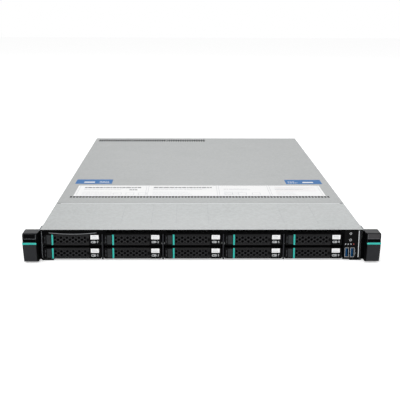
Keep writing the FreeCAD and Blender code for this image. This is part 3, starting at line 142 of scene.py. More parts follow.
@dataclass(frozen=True)
class Finish:
    """One real material and how its surface was made.

    The pattern is read in Object coordinates, so it stays with the piece. grain_mm is the real size of
    one crystal, pit, line or thread; relief_mm is how deep it is.
    """

    name: str
    colour: str
    shade: str
    grain: Grain
    grain_mm: float
    roughness: Pair
    metallic: float = 0.0
    relief_mm: float = 0.01
    coat: float = 0.0
    specular: float = 0.5
    patch_mm: float = 60.0

    def material(self) -> bpy.types.Material:
        """The finish as a node material, made once."""
        found = bpy.data.materials.get(self.name)
        return found if found else self._make()

    def _make(self) -> bpy.types.Material:
        """Builds the node tree: fine grain, broad patches, colour, roughness and relief.

        Returns:
            The new material.
        """
        material = bpy.data.materials.new(self.name)
        material.use_nodes = True
        tree = material.node_tree
        tree.nodes.clear()
        place = add(tree, "ShaderNodeTexCoord").outputs["Object"]
        grain = self._grain(tree, place)
        patch = out(tree, "ShaderNodeTexNoise", {"Vector": place, "Scale": 1 / (self.patch_mm * MM),
                                                 "Detail": 3.0, "Roughness": 0.55})
        blend = calc(tree, "MULTIPLY", grain, patch)
        share = out(tree, "ShaderNodeMapRange", {0: blend, 1: 0.12, 2: 0.42})
        colour = add(tree, "ShaderNodeMix", {0: share, 6: linear(self.shade), 7: linear(self.colour)},
                     data_type="RGBA").outputs[2]
        rough = out(tree, "ShaderNodeMapRange", {0: patch, 1: 0.3, 2: 0.7, 3: self.roughness[0],
                                                 4: self.roughness[1]})
        bump = out(tree, "ShaderNodeBump", {"Height": grain, "Distance": self.relief_mm * MM,
                                            "Strength": 0.6})
        shader = out(tree, "ShaderNodeBsdfPrincipled", {
            "Base Color": colour, "Roughness": rough, "Normal": bump, "Metallic": self.metallic,
            "Coat Weight": self.coat, "Coat Roughness": 0.08, "Specular IOR Level": self.specular})
        add(tree, "ShaderNodeOutputMaterial", {"Surface": shader})
        return material

    def _grain(self, tree: Tree, place: Socket) -> Socket:
        """The fine pattern's height, from 0 to 1.

        Args:
            tree: the material's tree.
            place: Object coordinates.

        Returns:
            The socket that carries the height.
        """
        per_metre = 1 / (self.grain_mm * MM)
        if self.grain is Grain.SPANGLE:
            cells = add(tree, "ShaderNodeTexVoronoi", {"Vector": place, "Scale": per_metre,
                                                       "Randomness": 1.0}, feature="F1")
            return out(tree, "ShaderNodeSeparateColor", {0: cells.outputs["Color"]})
        if self.grain is Grain.ROLLED:
            across = out(tree, "ShaderNodeMapping", {"Vector": place, "Scale": (0.04, 1.0, 1.0)})
            return out(tree, "ShaderNodeTexNoise", {"Vector": across, "Scale": per_metre, "Detail": 4.0,
                                                    "Roughness": 0.7})
        if self.grain is Grain.WOVEN:
            warp, weft = (add(tree, "ShaderNodeTexWave", {"Vector": place, "Scale": per_metre / math.tau},
                              wave_type="BANDS", bands_direction=way).outputs[1] for way in ("X", "Y"))
            return calc(tree, "MAXIMUM", warp, weft)
        detail = {Grain.SPARKED: 2.0, Grain.POLISHED: 0.0, Grain.PRINTED: 5.0}[self.grain]
        return out(tree, "ShaderNodeTexNoise", {"Vector": place, "Scale": per_metre, "Detail": detail,
                                                "Roughness": 0.5})


# Galvanised steel sheet, rolled and left bare: pale, faintly mottled by zinc crystals, half dull.
FRONT_SHEET = Finish("galvanised_front_cover", "#aeb1b1", "#a7a9a9", Grain.SPANGLE, 3.0, (0.42, 0.52), 0.75,
                     0.002, patch_mm=110.0)
REAR_SHEET = Finish("galvanised_top_cover", "#a2a4a4", "#9c9e9e", Grain.SPANGLE, 3.0, (0.42, 0.52), 0.75,
                    0.002, patch_mm=110.0)
BASE_SHEET = Finish("galvanised_chassis", "#b2b5b6", "#a2a5a7", Grain.SPANGLE, 6.0, (0.38, 0.5), 0.85,
                    0.005, patch_mm=70.0)
# Painted shade: near-black for the vents' slot walls and mouths and for the seam's notches, where the cut
# sheet lies in shadow.
SLOT_SHADE = Finish("painted_slot_shade", "#101112", "#0a0b0c", Grain.SPARKED, 0.5, (0.7, 0.8), specular=0.05)
# A bright strip along the front cover's lip, a painted highlight; and the top cover's front edge, left as it
# was sheared.
LIP_HIGHLIGHT = Finish("painted_lip_highlight", "#dcdfe0", "#d4d7d8", Grain.ROLLED, 0.4, (0.4, 0.5), 0.6,
                       0.003)
SHEARED = Finish("sheared_cover_edge", "#6f7172", "#636566", Grain.ROLLED, 0.4, (0.5, 0.6), 0.3, 0.004)
# Steel with black powder coat: a fine orange-peel that scatters its highlights. The same black paints shade
# in the levers' holes, behind them and in the ears' grooves.
BLACK_STEEL = Finish("powder_coated_steel", "#030304", "#020202", Grain.SPARKED, 0.6, (0.5, 0.6), 0.0, 0.03,
                     specular=0.03)
# The same coat painted paler on the front edges of the drive cage's dividers: a painted highlight.
GREY_STEEL = Finish("powder_coat_edge_highlight", "#2a2b2e", "#222325", Grain.SPARKED, 0.6, (0.5, 0.6), 0.0, 0.03,
                    specular=0.1)
# Glass-filled ABS, moulded with a spark-eroded texture: dark, dry, with soft highlights.
TRAY_PLASTIC = Finish("textured_black_abs", "#0a0a0b", "#070708", Grain.SPARKED, 0.35, (0.5, 0.62), 0.0, 0.02,
                      specular=0.06)
LEVER_PLASTIC = Finish("textured_lever_abs", "#222223", "#1b1b1c", Grain.SPARKED, 0.35, (0.45, 0.58), 0.0,
                       0.02, specular=0.12)
# The raised edges of the lever's cells are painted lighter than the lever, a painted highlight; the ribbed
# button is a little lighter grey.
CELL_HIGHLIGHT = Finish("lever_cell_highlight", "#39393b", "#2e2e30", Grain.SPARKED, 0.35, (0.4, 0.5), specular=0.2)
BUTTON_PLASTIC = Finish("textured_button_abs", "#2a2d2f", "#222426", Grain.SPARKED, 0.35, (0.42, 0.55), 0.0,
                        0.02, specular=0.2)
# Polycarbonate from a polished mould: near-mirror black with a clear skin.
GLOSS_BLACK = Finish("piano_black_polycarbonate", "#030304", "#020203", Grain.POLISHED, 4.0, (0.12, 0.2), 0.0,
                     0.002, specular=0.03)
# The right-hand latch is polished less, and its soft grey colour is a painted sheen.
LATCH_SHEEN = Finish("latch_painted_sheen", "#414042", "#383739", Grain.SPARKED, 0.4, (0.3, 0.4), 0.0,
                     0.004, specular=0.2)
# Thin satin trim round latches, folds and sockets; the same grey also paints a highlight along the left
# wall's front edge.
GREY_LINE = Finish("satin_grey_trim", "#6d7175", "#606468", Grain.SPARKED, 0.3, (0.3, 0.42))
# Through-coloured ABS in the accent colour: clean, even, slightly waxy.
TEAL = Finish("teal_abs", "#1fc0b3", "#1ab0a4", Grain.SPARKED, 0.4, (0.32, 0.42))
TEAL_BRIGHT = Finish("teal_light_pipe", "#6fe6d8", "#5fd9cc", Grain.POLISHED, 2.0, (0.2, 0.3), 0.0, 0.004)
# Vinyl labels: flat colour with a faint paper tooth.
WHITE_LABEL = Finish("white_vinyl_label", "#f9f9f9", "#f3f3f3", Grain.PRINTED, 0.5, (0.5, 0.6), 0.0, 0.004,
                     specular=0.2)
BLUE_LABEL = Finish("blue_vinyl_label", "#4378b2", "#3d70a9", Grain.PRINTED, 0.5, (0.5, 0.6), 0.0, 0.004,
                    specular=0.08)
GREY_INK = Finish("grey_print", "#66696c", "#5a5d60", Grain.PRINTED, 0.3, (0.5, 0.6), 0.0, 0.002)
PALE_INK = Finish("pale_grey_print", "#c9cbce", "#bec0c3", Grain.PRINTED, 0.3, (0.5, 0.6), 0.0, 0.002)
WHITE_INK = Finish("white_print", "#e9ecee", "#dfe2e4", Grain.PRINTED, 0.3, (0.45, 0.55), 0.0, 0.002)
ROSE_INK = Finish("pale_red_print", "#d9c0c2", "#ccb3b5", Grain.PRINTED, 0.3, (0.5, 0.6), 0.0, 0.002)
RED_INK = Finish("red_print", "#c2574e", "#b34c44", Grain.PRINTED, 0.3, (0.45, 0.55), 0.0, 0.002)
# Nickel-plated steel and brass: bright, thin, lightly scratched along the sheet.
NICKEL = Finish("nickel_plate", "#c9cacb", "#b4b6b8", Grain.ROLLED, 0.3, (0.22, 0.32), 1.0, 0.003)
# A thin steel strip by the control panel, painted bright as a painted highlight on its edge.
EDGE_STEEL_HIGHLIGHT = Finish("steel_edge_highlight", "#d4d6d8", "#bfc2c4", Grain.ROLLED, 0.3, (0.3, 0.4), 0.9, 0.004)
GOLD = Finish("gold_flash", "#d8a94a", "#c69a42", Grain.POLISHED, 1.0, (0.25, 0.35), 1.0, 0.001)
# Smoked polycarbonate card, grey at its cut edges, and small clear light pipes.
CLEAR_CARD = Finish("smoked_clear_card", "#303234", "#27292b", Grain.POLISHED, 3.0, (0.3, 0.4), 0.0, 0.002,
                    specular=0.1)
CARD_EDGE = Finish("clear_card_edge", "#777a7c", "#6b6e70", Grain.POLISHED, 3.0, (0.3, 0.4), 0.0, 0.002)
LENS = Finish("clear_light_pipe", "#3b3d40", "#313336", Grain.POLISHED, 1.0, (0.2, 0.3), 0.0, 0.001,
              specular=0.15)
# Sheet steel along a die-pressed line: the same zinc, painted a little darker as painted shade in the fold.
PRESSED_SHADE = Finish("pressed_line_shade", "#a9abad", "#9d9fa1", Grain.SPANGLE, 5.0, (0.5, 0.6), 0.6, 0.004)
# Metal cases and extrusions inside the body.
PLATED_CASE = Finish("plated_supply_case", "#b3b5b6", "#a4a6a8", Grain.ROLLED, 0.4, (0.34, 0.46), 0.85, 0.004)
CAST_METAL = Finish("cast_drive_case", "#8d9092", "#7c7f81", Grain.SPARKED, 0.8, (0.4, 0.52), 0.85, 0.02)
EXTRUDED = Finish("extruded_aluminium", "#c3c6c8", "#b0b3b5", Grain.ROLLED, 0.35, (0.3, 0.42), 0.9, 0.006)
# Nylon and ABS mouldings inside and on the ears.
EAR_PLASTIC = Finish("satin_black_ear", "#26272a", "#202124", Grain.SPARKED, 0.4, (0.4, 0.5), 0.0, 0.015,
                     specular=0.15)
SHROUD_PLASTIC = Finish("black_air_shroud", "#222426", "#1a1b1d", Grain.SPARKED, 0.5, (0.35, 0.5), 0.0, 0.02)
FAN_PLASTIC = Finish("fan_blade_pbt", "#1c1d1f", "#141516", Grain.SPARKED, 0.3, (0.3, 0.42))
# Black nylon for sockets; the same black is painted under the supplies' vents as painted shade.
BLACK_INSERT = Finish("black_nylon_socket", "#0c0d0e", "#08090a", Grain.SPARKED, 0.3, (0.4, 0.5),
                      specular=0.15)
BLUE_TONGUE = Finish("blue_socket_tongue", "#083f69", "#07385e", Grain.SPARKED, 0.3, (0.35, 0.45),
                     specular=0.1)
PALE_PLASTIC = Finish("natural_nylon", "#d9d6cc", "#cbc7bb", Grain.SPARKED, 0.4, (0.4, 0.5))
LATCH_GREEN = Finish("green_touch_point", "#2fa866", "#279558", Grain.SPARKED, 0.4, (0.35, 0.45))
BUSH_RUBBER = Finish("rubber_bush", "#3b3d40", "#303235", Grain.SPARKED, 0.6, (0.6, 0.75), 0.0, 0.02)
# Glass-epoxy board under green solder mask, and what is soldered to it.
BOARD_GREEN = Finish("green_solder_mask", "#1d5a3a", "#174a30", Grain.WOVEN, 0.6, (0.28, 0.38), 0.0, 0.004,
                     coat=0.2)
CHIP_BLACK = Finish("chip_epoxy", "#1b1c1e", "#141517", Grain.SPARKED, 0.2, (0.5, 0.6))
CERAMIC = Finish("ceramic_parts", "#a08a6a", "#6a5c48", Grain.SPARKED, 0.9, (0.4, 0.5), 0.0, 0.005)
SPREADER = Finish("anodised_spreader", "#3a4148", "#2f353b", Grain.ROLLED, 0.35, (0.35, 0.45), 0.8, 0.004)
CABLE_SLEEVE = Finish("braided_cable_sleeve", "#1a1b1c", "#0c0c0d", Grain.WOVEN, 1.2, (0.6, 0.75), 0.0, 0.06)
GREEN_LENS = Finish("green_light_pipe", "#58c27a", "#49b06a", Grain.POLISHED, 1.0, (0.15, 0.25), 0.0, 0.001,
                    coat=0.3)


# ---- meshes

def stand(name: str, data: bpy.types.ID) -> Object:
    """A new object in the scene.

    Args:
        name: its name.
        data: its mesh, curve, camera or lamp.

    Returns:
        The object.
    """
    made = bpy.data.objects.new(name, data)
    bpy.context.scene.collection.objects.link(made)
    return made


def take_mesh(holder: Object) -> Mesh:
    """The plain mesh that an object shows; the object itself is deleted.

    Args:
        holder: the object, with its modifiers or its text.

    Returns:
        The mesh, with no modifier behind it.
    """
    bpy.context.view_layer.update()
    mesh = bpy.data.meshes.new_from_object(holder.evaluated_get(bpy.context.evaluated_depsgraph_get()))
    bpy.data.objects.remove(holder)
    return mesh


def round_edges(shown: Object, name: str, width_mm: float, degrees: float) -> bpy.types.Modifier:
    """Adds a bevel on an object's sharp edges.

    Args:
        shown: the object.
        name: the modifier's name.
        width_mm: width of the rounded edges.
        degrees: the angle from which an edge is rounded.

    Returns:
        The modifier.
    """
    rounding = shown.modifiers.new(name, "BEVEL")
    rounding.width = width_mm * MM
    rounding.segments = 2
    rounding.limit_method = "ANGLE"
    rounding.angle_limit = math.radians(degrees)
    return rounding


def piece(name: str, shape: Shape | Mesh, finish: Finish, body: str, bevel_mm: float = 0.0) -> Object:
    """Makes a finished piece that rides on a body.

    Args:
        name: the piece's name.
        shape: its mesh, or the bmesh to make it from.
        finish: the finish of all its faces, unless the mesh has materials already.
        body: the body it moves with.
        bevel_mm: width of the rounded edges.

    Returns:
        The object.
    """
    mesh = shape
    if isinstance(shape, Shape):
        mesh = bpy.data.meshes.new(name)
        bmesh.ops.recalc_face_normals(shape, faces=shape.faces)
        shape.to_mesh(mesh)
        shape.free()
    if not mesh.materials:
        mesh.materials.append(finish.material())
    mesh.name = name
    mesh.shade_smooth()
    mesh.set_sharp_from_angle(angle=math.radians(SHARP))
    made = stand(name, mesh)
    if bevel_mm:
        round_edges(made, "rounded_edges", bevel_mm, SHARP)
    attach(made, body)
    LOG.info("piece %s on %s: %d faces", name, body, len(mesh.polygons))
    return made


def add_block(shape: Shape, low: Sequence[float], high: Sequence[float]) -> None:
    """Adds a block between two corners.

    Args:
        shape: the bmesh that gets it.
        low: lowest corner.
        high: highest corner.
    """
    size = [b - a for a, b in zip(low, high)]
    middle = [(a + b) / 2 for a, b in zip(low, high)]
    turn = Matrix.Translation(middle) @ Matrix.Diagonal((*size, 1.0))
    bmesh.ops.create_cube(shape, size=1.0, matrix=turn)


def rounded(x0: float, x1: float, z0: float, z1: float, radius: float) -> list[Pair]:
    """Corners of a rectangle with round corners.

    Args:
        x0: left side.
        x1: right side.
        z0: lower side.
        z1: upper side.
        radius: corner radius.

    Returns:
        The outline's points, going round once.
    """
    centres = [(x1 - radius, z1 - radius), (x0 + radius, z1 - radius), (x0 + radius, z0 + radius),
               (x1 - radius, z0 + radius)]
    points, steps = [], 4
    for quarter, (cx, cz) in enumerate(centres):
        for k in range(steps + 1):
            angle = (quarter + k / steps) * math.pi / 2
            points.append((cx + radius * math.cos(angle), cz + radius * math.sin(angle)))
    return points


def add_band(shape: Shape, outer: Sequence[Point], inner: Sequence[Point],
             depth: Sequence[float]) -> None:
    """Adds a closed band between two outlines with as many points, pushed along a vector.

    Args:
        shape: the bmesh that gets it.
        outer: the outer outline.
        inner: the inner outline.
        depth: how far and which way it is pushed.
    """
    push = Vector(depth)
    rings = [[shape.verts.new(Vector(p) + push * k) for p in line]
             for line in (outer, inner) for k in (0, 1)]
    count = len(outer)
    for a, b in ((0, 1), (1, 3), (3, 2), (2, 0)):
        for k in range(count):
            m = (k + 1) % count
            shape.faces.new((rings[a][k], rings[a][m], rings[b][m], rings[b][k]))


def number_mesh(text: str, height: float, thickness: float, place: Matrix) -> Mesh:
    """A plain number as a thin solid.

    Args:
        text: the digits.
        height: height of a digit.
        thickness: thickness of the ink.
        place: where the middle of the number goes, and how it is turned.

    Returns:
        The mesh, already in place.
    """
    curve = bpy.data.curves.new("number_" + text, "FONT")
    curve.body = text
    curve.size = height / 0.73
    curve.extrude = thickness / 2
    curve.align_x = "CENTER"
    curve.align_y = "CENTER"
    mesh = take_mesh(stand("number_" + text, curve))
    mesh.transform(place)
    return mesh


# ---- repeats

class Repeats:
    """Geometry Nodes trees for what repeats, built once and turned into plain meshes."""

    def _tree(self, name: str, **inputs: str) -> tuple[Tree, Inputs]:
        """A new tree with named inputs.

        Args:
            name: the tree's name.
            inputs: names of the inputs of each kind, such as Float or Vector.

        Returns:
            The tree and its inputs.
        """
        tree = bpy.data.node_groups.new(name, "GeometryNodeTree")
        tree.interface.new_socket("Geometry", in_out="INPUT", socket_type="NodeSocketGeometry")
        for kind, labels in {**inputs, "Material": "Finish"}.items():
            for label in labels.split():
                tree.interface.new_socket(label, in_out="INPUT", socket_type="NodeSocket" + kind)
        tree.interface.new_socket("Geometry", in_out="OUTPUT", socket_type="NodeSocketGeometry")
        return tree, tree.nodes.new("NodeGroupInput").outputs

    def _end(self, tree: Tree, finish: Socket, shape: Socket) -> Tree:
        """Closes a tree with Realize Instances and Set Material.

        Args:
            tree: the tree.
            finish: its Finish input.
            shape: the geometry so far.

        Returns:
            The tree.
        """
        real = out(tree, "GeometryNodeRealizeInstances", {0: shape})
        dressed = out(tree, "GeometryNodeSetMaterial", {"Geometry": real, "Material": finish})
        add(tree, "NodeGroupOutput", {0: dressed})
        return tree

    @cached_property
    def honeycomb(self) -> Tree:
        """Hexagonal cells in staggered lines across X and Z, each line alternately one cell shorter.

        Returns:
            The tree.
        """
        tree, get = self._tree("honeycomb", Int="Count", Float="Cells Pitch Line Radius Wall Depth",
                               Vector="Start")
        points = out(tree, "GeometryNodePoints", {"Count": get["Count"]})
        index = out(tree, "GeometryNodeInputIndex")
        pair = calc(tree, "MULTIPLY_ADD", get["Cells"], 2.0, -1.0)
        within = calc(tree, "MODULO", index, pair)
        whole = calc(tree, "FLOOR", calc(tree, "DIVIDE", index, pair))
        edge = calc(tree, "SUBTRACT", get["Cells"], 0.5)
        short = calc(tree, "GREATER_THAN", within, edge)
        column = calc(tree, "SUBTRACT", within, calc(tree, "MULTIPLY", short, edge))
        line = calc(tree, "MULTIPLY_ADD", whole, 2.0, short)
        x = calc(tree, "MULTIPLY", column, get["Pitch"])
        z = calc(tree, "MULTIPLY", line, get["Line"])
        offset = out(tree, "ShaderNodeCombineXYZ", {0: x, 2: z})
        place = out(tree, "ShaderNodeVectorMath", {0: offset, 1: get["Start"]}, operation="ADD")
        placed = out(tree, "GeometryNodeSetPosition", {"Geometry": points, "Position": place})
        ring = out(tree, "GeometryNodeCurvePrimitiveCircle", {"Resolution": 6, "Radius": get["Radius"]})
        section = out(tree, "GeometryNodeCurvePrimitiveQuadrilateral", {"Width": get["Wall"],
                                                                        "Height": get["Depth"]})
        cell = out(tree, "GeometryNodeCurveToMesh", {"Curve": ring,
                                                     "Profile Curve": section})
        cells = out(tree, "GeometryNodeInstanceOnPoints", {
            "Points": placed, "Instance": cell, "Rotation": (math.pi / 2, 0.0, 0.0)})
        return self._end(tree, get["Finish"], cells)

    @cached_property
    def row(self) -> Tree:
        """Equal blocks in a straight row, such as vent mouths, contacts or small board parts.

        Returns:
            The tree.
        """
        tree, get = self._tree("row_of_blocks", Int="Count", Vector="Start Step Size")
        line = out(tree, "GeometryNodeMeshLine", {"Count": get["Count"], "Start Location": get["Start"],
                                                  "Offset": get["Step"]}, mode="OFFSET")
        block = out(tree, "GeometryNodeMeshCube", {"Size": get["Size"]})
        placed = out(tree, "GeometryNodeInstanceOnPoints", {"Points": line,
                                                            "Instance": block})
        return self._end(tree, get["Finish"], placed)

    @cached_property
    def screws(self) -> Tree:
        """Cross-recessed screw heads on the points of the object's own mesh, facing one way.

        Returns:
            The tree.
        """
        tree, get = self._tree("screw_heads", Float="Radius Height", Vector="Facing")
        top = calc(tree, "MULTIPLY", get["Radius"], 0.72)
        head = out(tree, "GeometryNodeMeshCone", {"Vertices": 16, "Radius Top": top,
                                                  "Radius Bottom": get["Radius"], "Depth": get["Height"]})
        long = calc(tree, "MULTIPLY", get["Radius"], 1.05)
        thin = calc(tree, "MULTIPLY", get["Radius"], 0.24)
        up = out(tree, "ShaderNodeCombineXYZ", {2: calc(tree, "MULTIPLY", get["Height"], 1.05)})
        bars = []
        for axis in (0, 1):
            size = out(tree, "ShaderNodeCombineXYZ", {axis: long, 1 - axis: thin, 2: get["Height"]})
            bar = out(tree, "GeometryNodeMeshCube", {"Size": size})
            bars.append(out(tree, "GeometryNodeTransform", {"Geometry": bar, "Translation": up}))
        cut = add(tree, "GeometryNodeMeshBoolean", {0: head}, operation="DIFFERENCE", solver="EXACT")
        for bar in bars:
            tree.links.new(bar, cut.inputs[1])
        turn = out(tree, "FunctionNodeAlignRotationToVector", {"Vector": get["Facing"]}, axis="Z")
        heads = out(tree, "GeometryNodeInstanceOnPoints", {
            "Points": get["Geometry"], "Instance": cut.outputs[0], "Rotation": turn})
        return self._end(tree, get["Finish"], heads)

    def realise(self, name: str, tree: Tree, values: dict, finish: Finish,
                points: Iterable[Point] = ()) -> Mesh:
        """Runs a tree and returns its plain mesh.

        Args:
            name: name of the mesh.
            tree: one of this class's trees.
            values: the value of each named input.
            finish: what the shapes are made of.
            points: points that the tree puts its shapes on, where it reads them.

        Returns:
            The mesh, with no modifier behind it.
        """
        seed = bpy.data.meshes.new(name + "_points")
        seed.from_pydata([tuple(p) for p in points], [], [])
        holder = stand(name + "_holder", seed)
        modifier = holder.modifiers.new("repeats", "NODES")
        modifier.node_group = tree
        sockets = {item.name: item.identifier for item in tree.interface.items_tree if item.in_out == "INPUT"}
        for label, value in {**values, "Finish": finish.material()}.items():
            modifier[sockets[label]] = value
        return take_mesh(holder)


REPEATS = Repeats()


# ---- dressing the model's own solids

def dress(node: str, finish: Finish, bevel_mm: float = 0.0) -> Object:
    """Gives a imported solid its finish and, where asked, softly broken edges.

    Args:
        node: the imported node.
        finish: its main finish.
        bevel_mm: width of the rounded edges.

    Returns:
        The node's object.
    """
    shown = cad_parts[node]
    if not shown.data.materials:
        shown.data.materials.append(finish.material())
    for holder in shown.material_slots:
        holder.material = finish.material()
    if bevel_mm:
        joined = shown.modifiers.new("joined_corners", "WELD")
        joined.merge_threshold = 1e-6
        round_edges(shown, "broken_edges", bevel_mm, 40.0).harden_normals = True
    LOG.info("dressed %s with %s", node, finish.name)
    return shown


def part_finish(shown: Object, finish: Finish, inside: Callable[[Vector], bool]) -> None:
    """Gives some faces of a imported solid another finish.

    Args:
        shown: the node's object, already dressed.
        finish: the finish of those faces.
        inside: says whether a face's middle, in millimetres in the model's frame, is one of them.
    """
    shown.data.materials.append(finish.material())
    index = len(shown.data.materials) - 1
    turn = shown.matrix_world
    for face in shown.data.polygons:
        if inside((turn @ face.center) / MM):
            face.material_index = index


def plate(name: str, corners: Sequence[Point], depth: Sequence[float], finish: Finish, body: str,
          bevel_mm: float = 0.0) -> Object:
    """A flat outline pushed to a thickness, as a piece of its own.

    Args:
        name: the piece's name.
        corners: its outline, in metres.
        depth: how far and which way it is pushed, in metres.
        finish: its finish.
        body: the body it rides on.
        bevel_mm: width of its rounded edges.

    Returns:
        The object.
    """
    shape = bmesh.new()
    face = shape.faces.new([shape.verts.new(c) for c in corners])
    pushed = bmesh.ops.extrude_face_region(shape, geom=[face])
    bmesh.ops.translate(shape, verts=[v for v in pushed["geom"] if isinstance(v, bmesh.types.BMVert)],
                        vec=Vector(depth))
    return piece(name, shape, finish, body, bevel_mm)


def blocks(name: str, boxes: Iterable[Sequence[float]], finish: Finish, body: str = CHASSIS,
           bevel_mm: float = 0.0) -> Object:
    """Several blocks of one finish as one piece.

    Args:
        name: the piece's name.
        boxes: x0, x1, y0, y1, z0 and z1 of each block, in millimetres.
        finish: their finish.
        body: the body they ride on.
        bevel_mm: width of their rounded edges.

    Returns:
        The object.
    """
    shape = bmesh.new()
    for x0, x1, y0, y1, z0, z1 in boxes:
        add_block(shape, metres((x0, y0, z0)), metres((x1, y1, z1)))
    return piece(name, shape, finish, body, bevel_mm)


def row_of_blocks(name: str, count: int, start: Point, step: Point, size: Point, finish: Finish,
                  body: str = CHASSIS) -> Object:
    """Equal blocks in a straight row as one piece: first middle, step and size in millimetres."""
    mesh = REPEATS.realise(name, REPEATS.row, {"Count": count, "Start": metres(start), "Step": metres(step),
                                                 "Size": metres(size)}, finish)
    return piece(name, mesh, finish, body)


def discs(name: str, places: Iterable[Sequence[float]], radius_mm: float, height_mm: float, facing: Point,
          finish: Finish, body: str, sides: int = 20, top_share: float = 1.0) -> Object:
    """Round studs, cans or bushes of one size as one piece.

    Args:
        name: the piece's name.
        places: middle of each one's foot, in millimetres.
        radius_mm: radius at the foot.
        height_mm: height.
        facing: the way they stand.
        finish: their finish.
        body: the body they ride on.
        sides: facets round.
        top_share: radius at the top as a share of the foot's.

    Returns:
        The object.
    """
    shape = bmesh.new()
    turn = Vector((0, 0, 1)).rotation_difference(Vector(facing)).to_matrix().to_4x4()
    for place in places:
        middle = Vector(place) * MM + Vector(facing) * height_mm * MM / 2
        bmesh.ops.create_cone(shape, cap_ends=True, segments=sides, radius1=radius_mm * MM,
                              radius2=radius_mm * top_share * MM, depth=height_mm * MM,
                              matrix=Matrix.Translation(middle) @ turn)
    return piece(name, shape, finish, body)


def screw_heads(name: str, places: Sequence[Sequence[float]], radius_mm: float, facing: Point,
                body: str = CHASSIS) -> Object:
    """Cross-recessed screw heads as one piece: the middle of each head's seat in millimetres."""
    mesh = REPEATS.realise(name, REPEATS.screws, {"Radius": radius_mm * MM, "Height": radius_mm * 0.45 * MM,
                                                    "Facing": facing}, NICKEL, [metres(p) for p in places])
    return piece(name, mesh, NICKEL, body)


def printed(x0: float, x1: float, y0: float, y1: float, z: float) -> Row:
    """One printed rectangle on a level face at height z."""
    return x0, x1, y0, y1, z, z + INK


@dataclass(frozen=True)
class Print:
    """Small print as rows of dashes, in millimetres.

    Rows are pitch apart and a dash is weight high along Y. fill is the shortest and the longest dash, and
    ragged is the share of a row's length that may be missing at its right end.
    """

    pitch: float
    weight: float
    fill: Pair
    ragged: float = 0.35

    def lines(self, rng: random.Random, x0: float, x1: float, y0: float, y1: float, z: float) -> list[Row]:
        """Rows of dashes on a flat label.

        Args:
            rng: the random source.
            x0: left end of the rows, in millimetres.
            x1: right end.
            y0: nearest row.
            y1: furthest row.
            z: height of the label's face.

        Returns:
            A block for each dash.
        """
        marks, y = [], y0
        while y <= y1:
            x, end = x0, x1 - rng.uniform(0, self.ragged) * (x1 - x0)
            while x < end:
                length = rng.uniform(*self.fill)
                marks.append(printed(x, min(x + length, end), y, y + self.weight, z))
                x += length + WORD_GAP
            y += self.pitch
        return marks


def millimetres(node: str) -> tuple[list[float], list[float]]:
    """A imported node's lowest and highest corners in millimetres."""
    low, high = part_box(node)
    return [c / MM for c in low], [c / MM for c in high]


# ---- covers and their labels

